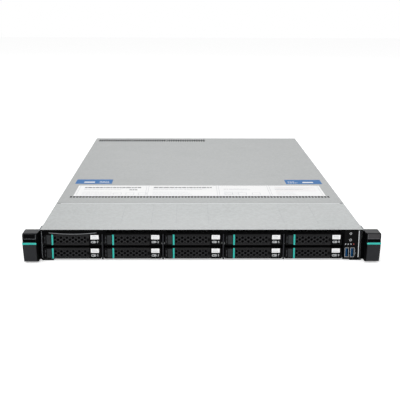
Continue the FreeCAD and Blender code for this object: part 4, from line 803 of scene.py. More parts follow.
@dataclass
class Covers:
    """The fixed front cover and the removable top cover, with their labels and embossing."""

    label_x: float = 199.7
    label_y: Pair = (186.4, 260.6)
    label_folds: Row = (-85.0, 30.0, 113.7)
    figures_x: Row = (-138.0, -118.0, -98.0, 40.0, 62.0, 84.0)
    film: float = 0.12
    blue_x: tuple[Pair, ...] = ((-208.0, -146.7), (146.5, 207.5))
    blue_y: tuple[Pair, ...] = ((274.0, 307.0), (272.0, 304.5))
    panels_x: tuple[Pair, ...] = ((-113.0, -70.0), (-36.0, 10.5), (115.0, 163.0))
    panels_y: Pair = (24.0, 128.0)
    line: float = 0.7
    vent_rows: tuple[Pair, ...] = ((179.0, 185.0), (697.0, 711.0))
    lip: float = 2.0
    vent_pitch: float = 5.0
    # Flat dark marks over the vents' mouths, as painted shade: name, left x, count, width, front y and rear
    # y.
    vents: tuple[tuple[str, float, int, float, float, float], ...] = (
        ("front_vent_mouths", -205.0, 82, 3.3, 176.0, 179.8),
        ("rear_vent_mouths", -211.0, 46, 3.2, 690.0, 697.6),
        ("rear_vent_end_shade", -211.0, 46, 3.2, 710.4, 712.5))
    notch: Row = (1.5, 6.5, 138.0, 139.8)
    seam_front: float = 139.2
    seam_gap: float = 1.2
    figure: Point = (13.0, 8.0, 22.0)
    notes_x: Pair = (124.0, 190.0)
    notes_y: Row = (14.0, 26.0, 40.0)
    screws_y: Pair = (30.0, 92.0)
    heading: Print = Print(4.5, 6.0, (3.0, 9.0), 0.04)
    text: Print = Print(4.5, 1.6, (3.0, 8.0))
    foot: Print = Print(8.0, 1.2, (3.0, 8.0))
    caption: Print = Print(4.5, 2.6, (2.0, 5.0))
    caption_x: Pair = (-114.0, -94.0)
    white_print: Print = Print(8.0, 3.0, (2.0, 4.5))
    rng: random.Random = field(default_factory=lambda: random.Random(7))

    def build(self) -> None:
        """Dresses both covers and adds what is stuck on or pressed into them."""
        fixed = dress("front_cover", FRONT_SHEET, 0.3)
        loose = dress("top_cover", REAR_SHEET, 0.2)
        low, high = millimetres("front_cover")
        self.top = high[2]
        part_finish(fixed, BLACK_STEEL, lambda m: m.y < low[1] + 0.1)
        # Painted shade: the vent slots' walls take the near-black slot finish.
        part_finish(loose, SLOT_SHADE, lambda m: 0.05 < self.top - m.z < 0.95 and any(
            y0 < m.y < y1 for y0, y1 in self.vent_rows))
        edge = millimetres("top_cover")[0][1] + 0.1
        part_finish(loose, SHEARED, lambda m: m.y < edge)
        self.vent_mouths()
        self.embossing()
        self.instruction_label()
        self.blue_labels()
        self.fasteners()

    def vent_mouths(self) -> None:
        """Painted shade as flat dark marks over the vents' mouths, two painted shadows at the seam's ends and
        a painted highlight along the lip.
        """
        z0, z1 = self.top - 0.05, self.top + INK
        for name, start, count, width, y0, y1 in self.vents:
            first = (start + self.vent_pitch / 2, (y0 + y1) / 2, (z0 + z1) / 2)
            row_of_blocks(name, count, first, (self.vent_pitch, 0, 0), (width, y1 - y0, z1 - z0), SLOT_SHADE,
                          "top_cover")
        right = millimetres("front_cover")[1][0]
        a, b, y0, y1 = self.notch
        # Two painted shadows at the seam's ends.
        blocks("seam_notch_shadows", [(a - right, b - right, y0, y1, z0, z1),
                                (right - b + 1, right - a, y0, y1, z0, z1)], SLOT_SHADE)
        edge = min(self.seam_front, millimetres("top_cover")[0][1] - self.seam_gap)
        # A bright strip along the lip: a painted highlight.
        blocks("front_cover_lip_highlight", [(b - right, right - b, edge - self.lip, edge, z0, z1)], LIP_HIGHLIGHT)

    def embossing(self) -> None:
        """Shallow pressed outlines over the drive bays, painted a little darker as painted shade."""
        boxes = []
        y0, y1 = self.panels_y
        for x0, x1 in self.panels_x:
            z0, z1 = self.top - 0.02, self.top + 0.05
            boxes += [(x0, x0 + self.line, y0, y1, z0, z1), (x1 - self.line, x1, y0, y1, z0, z1),
                      (x0, x1, y1 - self.line, y1, z0, z1)]
        blocks("pressed_outline_shade", boxes, PRESSED_SHADE)

    def instruction_label(self) -> None:
        """The long white label behind the vents, in four sections of generic print."""
        y0, y1 = self.label_y
        z = self.top + self.film
        blocks("white_instruction_label", [(-self.label_x, self.label_x, y0, y1, self.top - 0.02, z)],
               WHITE_LABEL, "top_cover")
        edges = [-self.label_x + 2, *self.label_folds, self.label_x - 2]
        frames, heads, text = [], [], []
        for k, (x0, x1) in enumerate(zip(edges, edges[1:])):
            a, b = x0 + 1.5, x1 - 1.5
            frames += [printed(a, b, y1 - 2.0, y1 - 1.6, z), printed(a, a + 0.5, y0 + 2, y1 - 2, z),
                       printed(b - 0.5, b, y0 + 2, y1 - 2, z)]
            if k < 2:
                heads += self.heading.lines(self.rng, a + 8.5, b - 8, y1 - 18.5, y1 - 16.5, z)
            text += self.text.lines(self.rng, a + 8, b - 12, y1 - 30.5, y1 - 22.5, z)
            text += self.foot.lines(self.rng, a + 8, b - 40, y0 + 10, y0 + 32, z)
        heads += self.caption.lines(self.rng, *self.caption_x, y1 - 34.5, y1 - 28.5, z)
        blocks("instruction_label_frames", frames, PALE_INK, "top_cover")
        blocks("instruction_label_heads", heads, GREY_INK, "top_cover")
        blocks("instruction_label_print", text, PALE_INK, "top_cover")
        notes = [printed(*self.notes_x, y1 - y, y1 - y + 1.2, z) for y in self.notes_y]
        blocks("instruction_label_notes", notes, ROSE_INK, "top_cover")
        wide, near, far = self.figure
        drawn = [printed(x, x + wide, y0 + y, y0 + y + 0.6, z) for x in self.figures_x for y in (near, far)]
        drawn += [printed(x + k, x + k + 0.6, y0 + near, y0 + far, z)
                  for x in self.figures_x for k in (0, wide - 0.6)]
        blocks("instruction_label_figures", drawn, PALE_INK, "top_cover")

    def blue_labels(self) -> None:
        """Two blue labels with plain white marks."""
        z = self.top + self.film
        blocks("blue_cover_labels", [(*across, *along, self.top - 0.02, z) for across, along in
                                     zip(self.blue_x, self.blue_y)], BLUE_LABEL, "top_cover")
        marks = []
        for (x0, _), (y0, _), (small, wide) in zip(self.blue_x, self.blue_y, ((40.0, 14.0), (4.0, 29.0))):
            marks += self.white_print.lines(self.rng, x0 + small, x0 + small + 18, y0 + 7, y0 + 18, z)
            marks.append(printed(x0 + wide, x0 + wide + 18, y0 + 8, y0 + 16, z))
        blocks("blue_label_marks", marks, WHITE_INK, "top_cover")

    def fasteners(self) -> None:
        """Countersunk screws in the front cover's folded sides."""
        low, high = millimetres("front_cover")
        z = low[2] + 5.0
        for (side, way), x in zip(SIDES, (low[0], high[0])):
            screw_heads("front_cover_screws_" + side, [(x, y, z) for y in self.screws_y], 2.6, (way, 0, 0))


# ---- drive bays

@dataclass
class DriveBay:
    """One drive tray with its latch lever, release button, label and number."""

    bay: int
    stripe: Pair = (0.55, 2.95)
    label_start: float = 63.6
    label_width: float = 11.1
    label_rise: float = 8.3
    label_height: float = 6.0
    number_rise: float = 4.5
    number_height: float = 3.0
    cells: int = 6
    pitch: float = 8.1
    line: float = 2.7
    cell_radius: float = 2.72
    cell_wall: float = 0.45
    cell_depth: float = 0.8
    dish: float = 1.3
    grille_shift: float = 0.4
    lever_back: float = 3.05
    rail: float = 3.53
    drive_front: float = 34.4
    ribs_z: Row = (3.6, 5.2, 6.8, 8.4)
    pipes_z: Pair = (3.2, 8.4)
    text: Print = Print(5.0, 1.6, (3.0, 9.0))

    def build(self) -> None:
        """Dresses the tray, its lever and its button, and adds the small pieces on them."""
        self.tray_node, self.lever_node = f"drive_tray_{self.bay}", f"latch_lever_{self.bay}"
        self.low, self.high = millimetres(self.tray_node)
        self.tray()
        self.lever()
        self.button()
        self.label()
        self.drive()

    def tray(self) -> None:
        """The moulded frame and the drive in it."""
        tray = dress(self.tray_node, TRAY_PLASTIC)
        front = self.low[1] + self.drive_front
        x0, x1 = self.low[0] + self.rail, self.high[0] - self.rail
        part_finish(tray, CAST_METAL, lambda m: m.y > front and x0 < m.x < x1)

    def lever(self) -> None:
        """The lever's cells, its teal end, and painted shade in the cells' holes and on a black sheet behind
        them.
        """
        lever = dress(self.lever_node, LEVER_PLASTIC, 0.2)
        (x0, y0, z0), (x1, _, z1) = millimetres(self.lever_node)
        middle = (x0 + x1) / 2 - self.grille_shift
        centre = (z0 + z1) / 2
        half = self.pitch * (self.cells - 1) / 2 + self.cell_radius
        rise = self.line + self.cell_radius
        # Painted shade: the walls and floors of the grille's holes are painted black.
        part_finish(lever, BLACK_STEEL, lambda m: self.dish + 0.05 < m.y - y0 < 2.95
                    and abs(m.x - middle) < half and abs(m.z - centre) < rise)
        start = (middle - self.pitch * (self.cells - 1) / 2, y0 + self.dish - self.cell_depth / 2,
                 centre - self.line)
        # The cells' raised rims are a lighter grey: a painted highlight.
        mesh = REPEATS.realise(f"lever_cells_{self.bay}", REPEATS.honeycomb, {
            "Count": 3 * self.cells - 1, "Cells": float(self.cells), "Start": metres(start),
            "Pitch": self.pitch * MM, "Line": self.line * MM, "Radius": self.cell_radius * MM,
            "Wall": self.cell_wall * MM, "Depth": self.cell_depth * MM}, CELL_HIGHLIGHT)
        piece(f"lever_cells_{self.bay}", mesh, CELL_HIGHLIGHT, self.lever_node)
        back = y0 + self.lever_back
        blocks(f"teal_stripe_{self.bay}", [(x0 + self.stripe[0], x0 + self.stripe[1], y0 - 0.15, back,
                                            z0 + 0.2, z1 - 0.05)], TEAL, self.lever_node, 0.3)
        # A black sheet behind the grille so its holes read dark: painted shade.
        blocks(f"lever_shade_sheet_{self.bay}", [(middle - half, middle + half, back, back + 0.2, centre - rise,
                                             centre + rise)], BLACK_STEEL, self.lever_node)

    def button(self) -> None:
        """The release button and the light pipes in the post beside it."""
        node = f"release_button_{self.bay}"
        dress(node, BUTTON_PLASTIC, 0.35)
        low, high = millimetres(node)
        ribs = [(low[0] + 1.1, high[0] - 1.1, low[1] - 0.25, low[1] + 0.1, low[2] + up, low[2] + up + 0.5)
                for up in self.ribs_z]
        blocks(f"button_ribs_{self.bay}", ribs, BUTTON_PLASTIC, node, 0.12)
        x, y, z = self.low
        pipes = [(x + 1.3, x + 2.5, y - 0.1, y + 0.4, z + up, z + up + 3.6) for up in self.pipes_z]
        blocks(f"status_light_pipes_{self.bay}", pipes, LENS, self.tray_node, 0.2)

    def label(self) -> None:
        """The white write-on label, with a drive pictogram and the bay's number below it."""
        x, y, z = self.low
        x0 = x + self.label_start
        corners = [metres((a, y + 0.02, b)) for a, b in rounded(
            x0, x0 + self.label_width, z + self.label_rise, z + self.label_rise + self.label_height, 0.5)]
        body = self.tray_node
        plate(f"tray_label_{self.bay}", corners, (0, -0.14 * MM, 0), WHITE_LABEL, body)
        rows = [(x0 + 1.4, x0 + self.label_width - 1.8 - k, y - 0.15, y - 0.1, z + self.label_rise + up,
                 z + self.label_rise + up + 0.7) for k, up in enumerate((1.4, 3.6))]
        blocks(f"tray_label_print_{self.bay}", rows, PALE_INK, body)
        low, high = z + self.number_rise - 1.35, z + self.number_rise + 1.35
        a, b = x0 + 0.6, x0 + self.label_width * 0.62
        drawn = [(a, b, low, low + 0.6), (a, b, high - 0.6, high), (a, a + 0.7, low, high),
                 (b - 0.7, b, low, high), (b - 2.6, b - 1.5, low + 0.9, high - 0.9)]
        blocks(f"tray_mark_{self.bay}", [(x2, x3, y - 0.08, y + 0.02, z2, z3) for x2, x3, z2, z3 in drawn],
               WHITE_INK, body)
        middle = Vector((x0 + self.label_width - 1.7, y - 0.03, z + self.number_rise)) * MM
        turn = Matrix.Translation(middle) @ Matrix.Rotation(math.pi / 2, 4, "X")
        mesh = number_mesh(str(self.bay), self.number_height * MM, 0.1 * MM, turn)
        piece(f"tray_number_{self.bay}", mesh, WHITE_INK, body)

    def drive(self) -> None:
        """The drive's own label and the screws that hold it."""
        x0, x1, y0, y1 = self.low[0] + 10, self.high[0] - 10, self.low[1] + 40, self.high[1] - 32
        top = self.high[2] - 0.15
        blocks(f"drive_label_{self.bay}", [(x0, x1, y0, y1, top - 0.02, top + 0.08)], WHITE_LABEL,
               self.tray_node)
        lines = self.text.lines(random.Random(20 + self.bay), x0 + 5, x1 - 12, y0 + 6, y1 - 8, top + 0.08)
        blocks(f"drive_label_print_{self.bay}", lines, GREY_INK, self.tray_node)
        for (side, way), x in zip(SIDES, (self.low[0], self.high[0])):
            places = [(x - way * 0.5, y, self.low[2] + 4.5) for y in (self.low[1] + 46, self.high[1] - 14)]
            screw_heads(f"drive_screws_{self.bay}_{side}", places, 1.7, (way, 0, 0), self.tray_node)


# ---- front frame, tag and panel

@dataclass
class FrontFrame:
    """The drive cage, the pull-out tag and the control panel."""

    diamond: float = 1.85
    ring: float = 1.6
    stroke: float = 0.45
    mark_z: float = 22.5
    marks_x: Row = (195.9, 199.5, 203.2, 206.9)
    edge_line: Row = (213.3, 214.3, 4.0, 41.6)
    socket_marks: tuple[Row, ...] = ((208.5, 209.1, 6.5, 16.0), (209.6, 210.2, 8.5, 11.0))
    cage_inside: float = 2.0
    worn: Row = (-7.9, 190.0, 3.0, 37.0)
    proud: float = 0.06

    def build(self) -> None:
        """Dresses the three and adds the panel's icons."""
        cage = dress("drive_cage", BLACK_STEEL)
        part_finish(cage, BASE_SHEET, lambda m: m.y > self.cage_inside)
        front = millimetres("drive_cage")[0][1]
        # A thin steel strip at the panel's edge, painted bright: a painted highlight.
        x0, x1, z0, z1 = self.edge_line
        blocks("panel_edge_line", [(x0, x1, front - self.proud, front + 0.1, z0, z1)], EDGE_STEEL_HIGHLIGHT)
        # The dividers' front edges painted paler: a painted highlight.
        y, x, low, high = self.worn
        part_finish(cage, GREY_STEEL, lambda m: m.y < y and m.x < x and low < m.z < high)
        tag = dress("information_tag", CLEAR_CARD)
        edge = millimetres("information_tag")[0][1] + 0.05
        part_finish(tag, CARD_EDGE, lambda m: m.y < edge)
        dress("control_panel", TRAY_PLASTIC, 0.2)
        self.icons()
        self.lights()

    def icons(self) -> None:
        """A white diamond on the power button and a white ring on the other."""
        for name, size, sides in (("power_button", self.diamond, 4), ("identify_button", self.ring, 20)):
            dress(name, TRAY_PLASTIC, 0.3)
            low, high = millimetres(name)
            x, z, y = (low[0] + high[0]) / 2, (low[2] + high[2]) / 2, low[1] - self.proud
            angles = [math.tau * k / sides for k in range(sides)]
            rings = [[metres((x + r * math.cos(angle), y, z + r * math.sin(angle))) for angle in angles]
                     for r in (size, size - self.stroke * (1.4 if sides == 4 else 1))]
            shape = bmesh.new()
            add_band(shape, rings[0], rings[1], (0, 0.1 * MM, 0))
            piece(name + "_icon", shape, WHITE_INK, name)

    def lights(self) -> None:
        """Four tiny status marks, the last one red, and grey marks by the sockets."""
        y = millimetres("control_panel")[0][1]
        white, red = self.marks_x[:-1], self.marks_x[-1:]
        y0, y1, z = y - self.proud, y + 0.05, self.mark_z
        for name, places, finish in (("panel_status_marks", white, WHITE_INK),
                                     ("panel_fault_mark", red, RED_INK)):
            boxes = []
            for x in places:
                boxes += [(x - 0.8, x + 0.8, y0, y1, z - 0.9, z - 0.35),
                          (x - 0.8, x + 0.8, y0, y1, z + 0.35, z + 0.9),
                          (x - 0.35, x + 0.35, y0, y1, z - 0.9, z + 0.9)]
            blocks(name, boxes, finish)
        blocks("socket_mark", [(x0, x1, y0, y1, low, high) for x0, x1, low, high in self.socket_marks],
               GREY_LINE)


# ---- ears

@dataclass
class Ear:
    """A rack ear: dark moulding, a glossy latch or one with a painted grey sheen, teal inlay and a groove
    painted black as painted shade.
    """

    side: str
    inlay_z: Pair = (25.9, 28.5)
    fold: Row = (219.1, 220.5, -7.9, 12.9, 41.6, 43.4)
    slope: float = 222.65
    inlay_inner: float = 222.3
    outer: float = 241.3
    front: float = -21.0
    reach: float = 9.0
    proud: float = 0.12
    trim: float = 0.35
    groove_z: Pair = (28.8, 33.7)

    def build(self) -> None:
        """Dresses the ear and its latch and adds the inlay and the latch's trim."""
        ear = dress(f"{self.side}_ear", EAR_PLASTIC, 0.25)
        # Faces inboard of the slope take the black coat, and the groove under the brow is painted black:
        # painted shade.
        part_finish(ear, BLACK_STEEL, lambda m: abs(m.x) < self.slope or (
            self.groove_z[0] < m.z < self.groove_z[1] and self.front + 0.1 < m.y < self.front + 2.1))
        # The right-hand latch's grey is a painted sheen.
        dress(f"{self.side}_latch", GLOSS_BLACK if self.side == "left" else LATCH_SHEEN, 0.5)
        self.inlay()
        self.latch_trim()
        fold = (*self._span(*self.fold[:2]), *self.fold[2:])
        blocks(f"{self.side}_bracket_fold", [fold], GREY_LINE, CHASSIS, 0.3)

    def _flip(self, x: float) -> float:
        """X on this ear from X on the right-hand one."""
        return x if self.side == "right" else -x

    def _span(self, a: float, b: float) -> list[float]:
        """Lower and upper x on this ear from two on the right-hand one."""
        return sorted((self._flip(a), self._flip(b)))

    def inlay(self) -> None:
        """The teal bar across the front, rounded at its inner end and turned round the outer side."""
        z0, z1 = self.inlay_z
        radius = (z1 - z0) / 2
        x0 = self.inlay_inner + radius
        outline = [(self.outer, z0), (self.outer, z1)]
        outline += [(x0 + radius * math.cos(math.pi * (0.5 + k / 10)), z0 + radius + radius * math.sin(
            math.pi * (0.5 + k / 10))) for k in range(11)]
        y = self.front - self.proud
        corners = [metres((self._flip(x), y, z)) for x, z in outline]
        plate(f"{self.side}_ear_inlay", corners, (0, 0.85 * MM, 0), TEAL, CHASSIS, 0.15)
        sides = self._span(self.outer - 0.3, self.outer + self.proud)
        blocks(f"{self.side}_ear_inlay_return", [(*sides, y, self.front + self.reach, z0, z1)], TEAL, CHASSIS,
               0.1)
        cap = self._span(self.inlay_inner + 0.5, self.inlay_inner + 1.9)
        blocks(f"{self.side}_ear_inlay_tip", [(*cap, y - 0.05, y + 0.4, z0 + 0.9, z1 - 0.9)], TEAL_BRIGHT,
               CHASSIS, 0.3)

    def latch_trim(self) -> None:
        """The grey line along the latch's lower and inner edges."""
        low, high = millimetres(f"{self.side}_latch")
        y0, y1 = low[1] - 0.08, low[1] + 0.2
        inner = low[0] if self.side == "right" else high[0]
        upright = sorted((inner, inner + (self.trim if self.side == "right" else -self.trim)))
        blocks(f"{self.side}_latch_trim", [(low[0] + 0.3, high[0] - 0.3, y0, y1, low[2], low[2] + self.trim),
                                           (upright[0], upright[1], y0, y1, low[2], high[2] - 0.5)],
               GREY_LINE, f"{self.side}_latch", 0.05)


# ---- body and rear

@dataclass
class Body:
    """The folded tray, the rear wall and the ports in it."""

    screw: float = 2.8
    side_rows: Row = (18.0, 118.0, 300.0, 470.0, 560.0, 700.0)
    side_z: float = 24.0
    edge_line: Row = (-217.6, -217.0, 4.0, 41.0)
    usb_middle: float = 7.3
    usb_half: float = 2.65
    usb_steps: Pair = (-3.8, 3.8)
    usb_inside: Row = (0.3, 5.0, 5.4, 17.2)
    tongue: Row = (1.0, 3.0, 4.6, 17.0)
    sleeve: Row = (0.75, 3.45, 4.85, 16.75)
    network_x: Row = (-20.4, -1.4, 17.6)
    contacts: tuple[int, float, float] = (8, 3.6, 1.1)
    port_lights: Pair = (0.5, 14.3)
    rear_usb_x: Pair = (38.4, 48.3)
    video_x: Pair = (-46.8, -30.4)
    posts_x: Pair = (-51.8, -26.0)
    wall_screw_places: tuple[Pair, ...] = (
        (60.0, 36.0), (84.0, 8.0), (84.0, 36.0), (-60.0, 37.0), (214.0, 12.0))

    def build(self) -> None:
        """Dresses the sheet metal and adds its fasteners and the ports' fittings."""
        tray = dress("chassis_tray", BASE_SHEET)
        dress("rear_wall", BASE_SHEET)
        self.low, self.high = millimetres("chassis_tray")
        part_finish(tray, BLACK_STEEL, lambda m: m.y < self.low[1] + 0.05)
        # A thin grey line along the left wall's front edge: a painted highlight.
        x0, x1, z0, z1 = self.edge_line
        blocks("left_edge_line", [(x0, x1, self.low[1] - 0.05, self.low[1] + 0.1, z0, z1)], GREY_LINE)
        self.side_screws()
        self.ports()
        self.wall_screws()

    def side_screws(self) -> None:
        """Screws through both side walls, one row on each."""
        for (side, way), x in zip(SIDES, (self.low[0], self.high[0])):
            screw_heads("side_wall_screws_" + side, [(x, y, self.side_z) for y in self.side_rows], self.screw,
                        (way, 0, 0))

    def ports(self) -> None:
        """Nickel cans with gold contacts, lights and one blue video insert; front sockets with tongues."""
        cans = dress("io_ports", NICKEL)
        panel = millimetres("control_panel")[0]
        sleeves = []
        for step in self.usb_steps:
            left = panel[0] + self.usb_middle - self.usb_half + step
            for finish, behind, (x0, x1, z0, z1) in ((BLACK_INSERT, 0.05, self.usb_inside),
                                                     (BLUE_TONGUE, 0.2, self.tongue)):
                part_finish(cans, finish, lambda m: panel[1] + behind < m.y < 20
                            and left + x0 < m.x < left + x1 and z0 < m.z < z1)
            x0, x1, z0, z1 = self.sleeve
            sleeves.append((left + x0, left + x1, panel[1] + 0.5, panel[1] + 1.4, z0, z1))
        blocks("front_usb_sleeves", sleeves, BLUE_TONGUE, CHASSIS, 0.1)
        rear, top = self.high[1], BOARD_TOP
        count, start, pitch = self.contacts
        contacts, lights, inserts = [], [], []
        for x in self.network_x:
            for a in (x + start + pitch * k for k in range(count)):
                contacts.append((a, a + 0.5, rear - 12, rear - 1.5, top + 10.2, top + 10.6))
            lights += [(x + a, x + a + 1.2, rear + 0.4, rear + 0.62, top + 11.8, top + 13.2)
                       for a in self.port_lights]
        for low in (top + 2.6, top + 9.4):
            inserts.append((*self.rear_usb_x, rear - 14, rear - 1.0, low, low + 1.9))
        blocks("network_contacts", contacts, GOLD)
        blocks("network_lights", lights, GREEN_LENS, CHASSIS, 0.1)
        blocks("rear_usb_tongues", inserts, BLUE_TONGUE, CHASSIS, 0.15)
        blocks("video_port_insert", [(*self.video_x, rear - 3, rear + 1.4, top + 3.6, top + 10.4)],
               BLUE_TONGUE, CHASSIS, 0.6)
        first = self.video_x[0] + 1.6
        pins = [(first + 3.0 * k + 0.9 * (row % 2), rear + 1.35, top + 5.0 + 2.0 * row)
                for row in range(3) for k in range(5)]
        discs("video_port_holes", pins, 0.5, 0.15, (0, 1, 0), BLACK_INSERT, CHASSIS, 10)

    def wall_screws(self) -> None:
        """Screws round the rear wall, and the hexagonal posts beside the video port."""
        rear = self.high[1]
        screw_heads("rear_wall_screws", [(x, rear, z) for x, z in self.wall_screw_places], 2.4, (0, 1, 0))
        discs("video_port_posts", [(x, rear + 0.5, 15.8) for x in self.posts_x], 2.3, 3.6, (0, 1, 0), NICKEL,
              CHASSIS, 6)


@dataclass
class PowerSupply:
    """A plug-in supply: plated case, black inlet and handle, green latch and a fan behind its guard."""

    bay: int
    fan_radius: float = 16.0
    fan_at: Point = (-19.5, -6.0, 21.7)
    blades: int = 7
    light: Pair = (33.5, 3.0)
    length: float = 185.0
    inlet: Point = (27.0, 13.0, 19.5)
    inlet_at: Pair = (3.0, 3.5)
    pins: tuple[Pair, ...] = ((5.4, 5.0), (19.4, 5.0), (12.4, 10.0))
    label_at: Pair = (12.0, 640.0)
    film_y: Pair = (688.0, 720.0)
    text: Print = Print(5.2, 1.4, (3.0, 8.0))

    def build(self) -> None:
        """Dresses the supply and adds its fan, pins, light and label."""
        node, rear = f"power_supply_{self.bay}", REAR
        case = dress(node, PLATED_CASE)
        self.low, self.high = millimetres(node)
        part_finish(case, BLACK_STEEL, lambda m: m.y > rear + 0.1)
        x0, z0 = self.low[0] + self.inlet_at[0], self.inlet_at[1]
        wide, deep, tall = self.inlet
        part_finish(case, BLACK_INSERT, lambda m: rear - deep - 0.3 < m.y < rear - 0.2
                    and x0 - 0.1 < m.x < x0 + wide + 0.1 and z0 - 0.1 < m.z < z0 + tall + 0.1)
        part_finish(case, BOARD_GREEN, lambda m: m.y < rear - self.length - 0.1)
        dress(f"supply_latch_{self.bay}", LATCH_GREEN, 0.2)
        self.fan(node, rear)
        pins = [(x0 + x, x0 + x + 2.2, rear - deep, rear - 3, z0 + z, z0 + z + 5) for x, z in self.pins]
        blocks(f"inlet_pins_{self.bay}", pins, NICKEL, node, 0.3)
        light = (x0 + self.light[0], rear - 0.1, z0 + self.light[1])
        discs(f"supply_light_{self.bay}", [light], 1.3, 0.5, (0, 1, 0), GREEN_LENS, node)
        self.label(node)

    def fan(self, node: str, rear: float) -> None:
        """The blades and hub that show through the guard.

        Args:
            node: the supply's node.
            rear: the rear face's y, in millimetres.
        """
        x, y, z = self.high[0] + self.fan_at[0], rear + self.fan_at[1], self.fan_at[2]
        shape = bmesh.new()
        for k in range(self.blades):
            turn = Matrix.Translation(metres((x, y, z))) \
                @ Matrix.Rotation(math.tau * k / self.blades, 4, "Y") \
                @ Matrix.Translation((0, 0, (self.fan_radius * 0.62) * MM)) @ Matrix.Rotation(0.6, 4, "Z")
            bmesh.ops.create_cube(shape, size=1.0, matrix=turn @ Matrix.Diagonal(
                (8.5 * MM, 0.9 * MM, self.fan_radius * 0.74 * MM, 1.0)))
        piece(f"supply_fan_blades_{self.bay}", shape, TRAY_PLASTIC, node)
        discs(f"supply_fan_hub_{self.bay}", [(x, y - 3.5, z)], 6.5, 7.0, (0, 1, 0), TRAY_PLASTIC, node, 32)

    def label(self, node: str) -> None:
        """A white label with plain rows on top of the case, and a black sheet under the cover's vents as
        painted shade.

        Args:
            node: the supply's node.
        """
        top = self.high[2]
        x0, y0 = self.low[0] + self.label_at[0], self.label_at[1]
        blocks(f"supply_label_{self.bay}", [(x0, x0 + 48, y0, y0 + 60, top - 0.02, top + 0.1)], WHITE_LABEL,
               node)
        # A black sheet under the cover's vents: painted shade.
        blocks(f"supply_vent_shade_{self.bay}", [(self.low[0] + 1.5, self.high[0] - 1.5, *self.film_y, top - 0.02,
                                            top + 0.1)], BLACK_INSERT, node)
        lines = self.text.lines(random.Random(40 + self.bay), x0 + 4, x0 + 44, y0 + 5, y0 + 54, top + 0.1)
        blocks(f"supply_label_print_{self.bay}", lines, GREY_INK, node)


# ---- inside

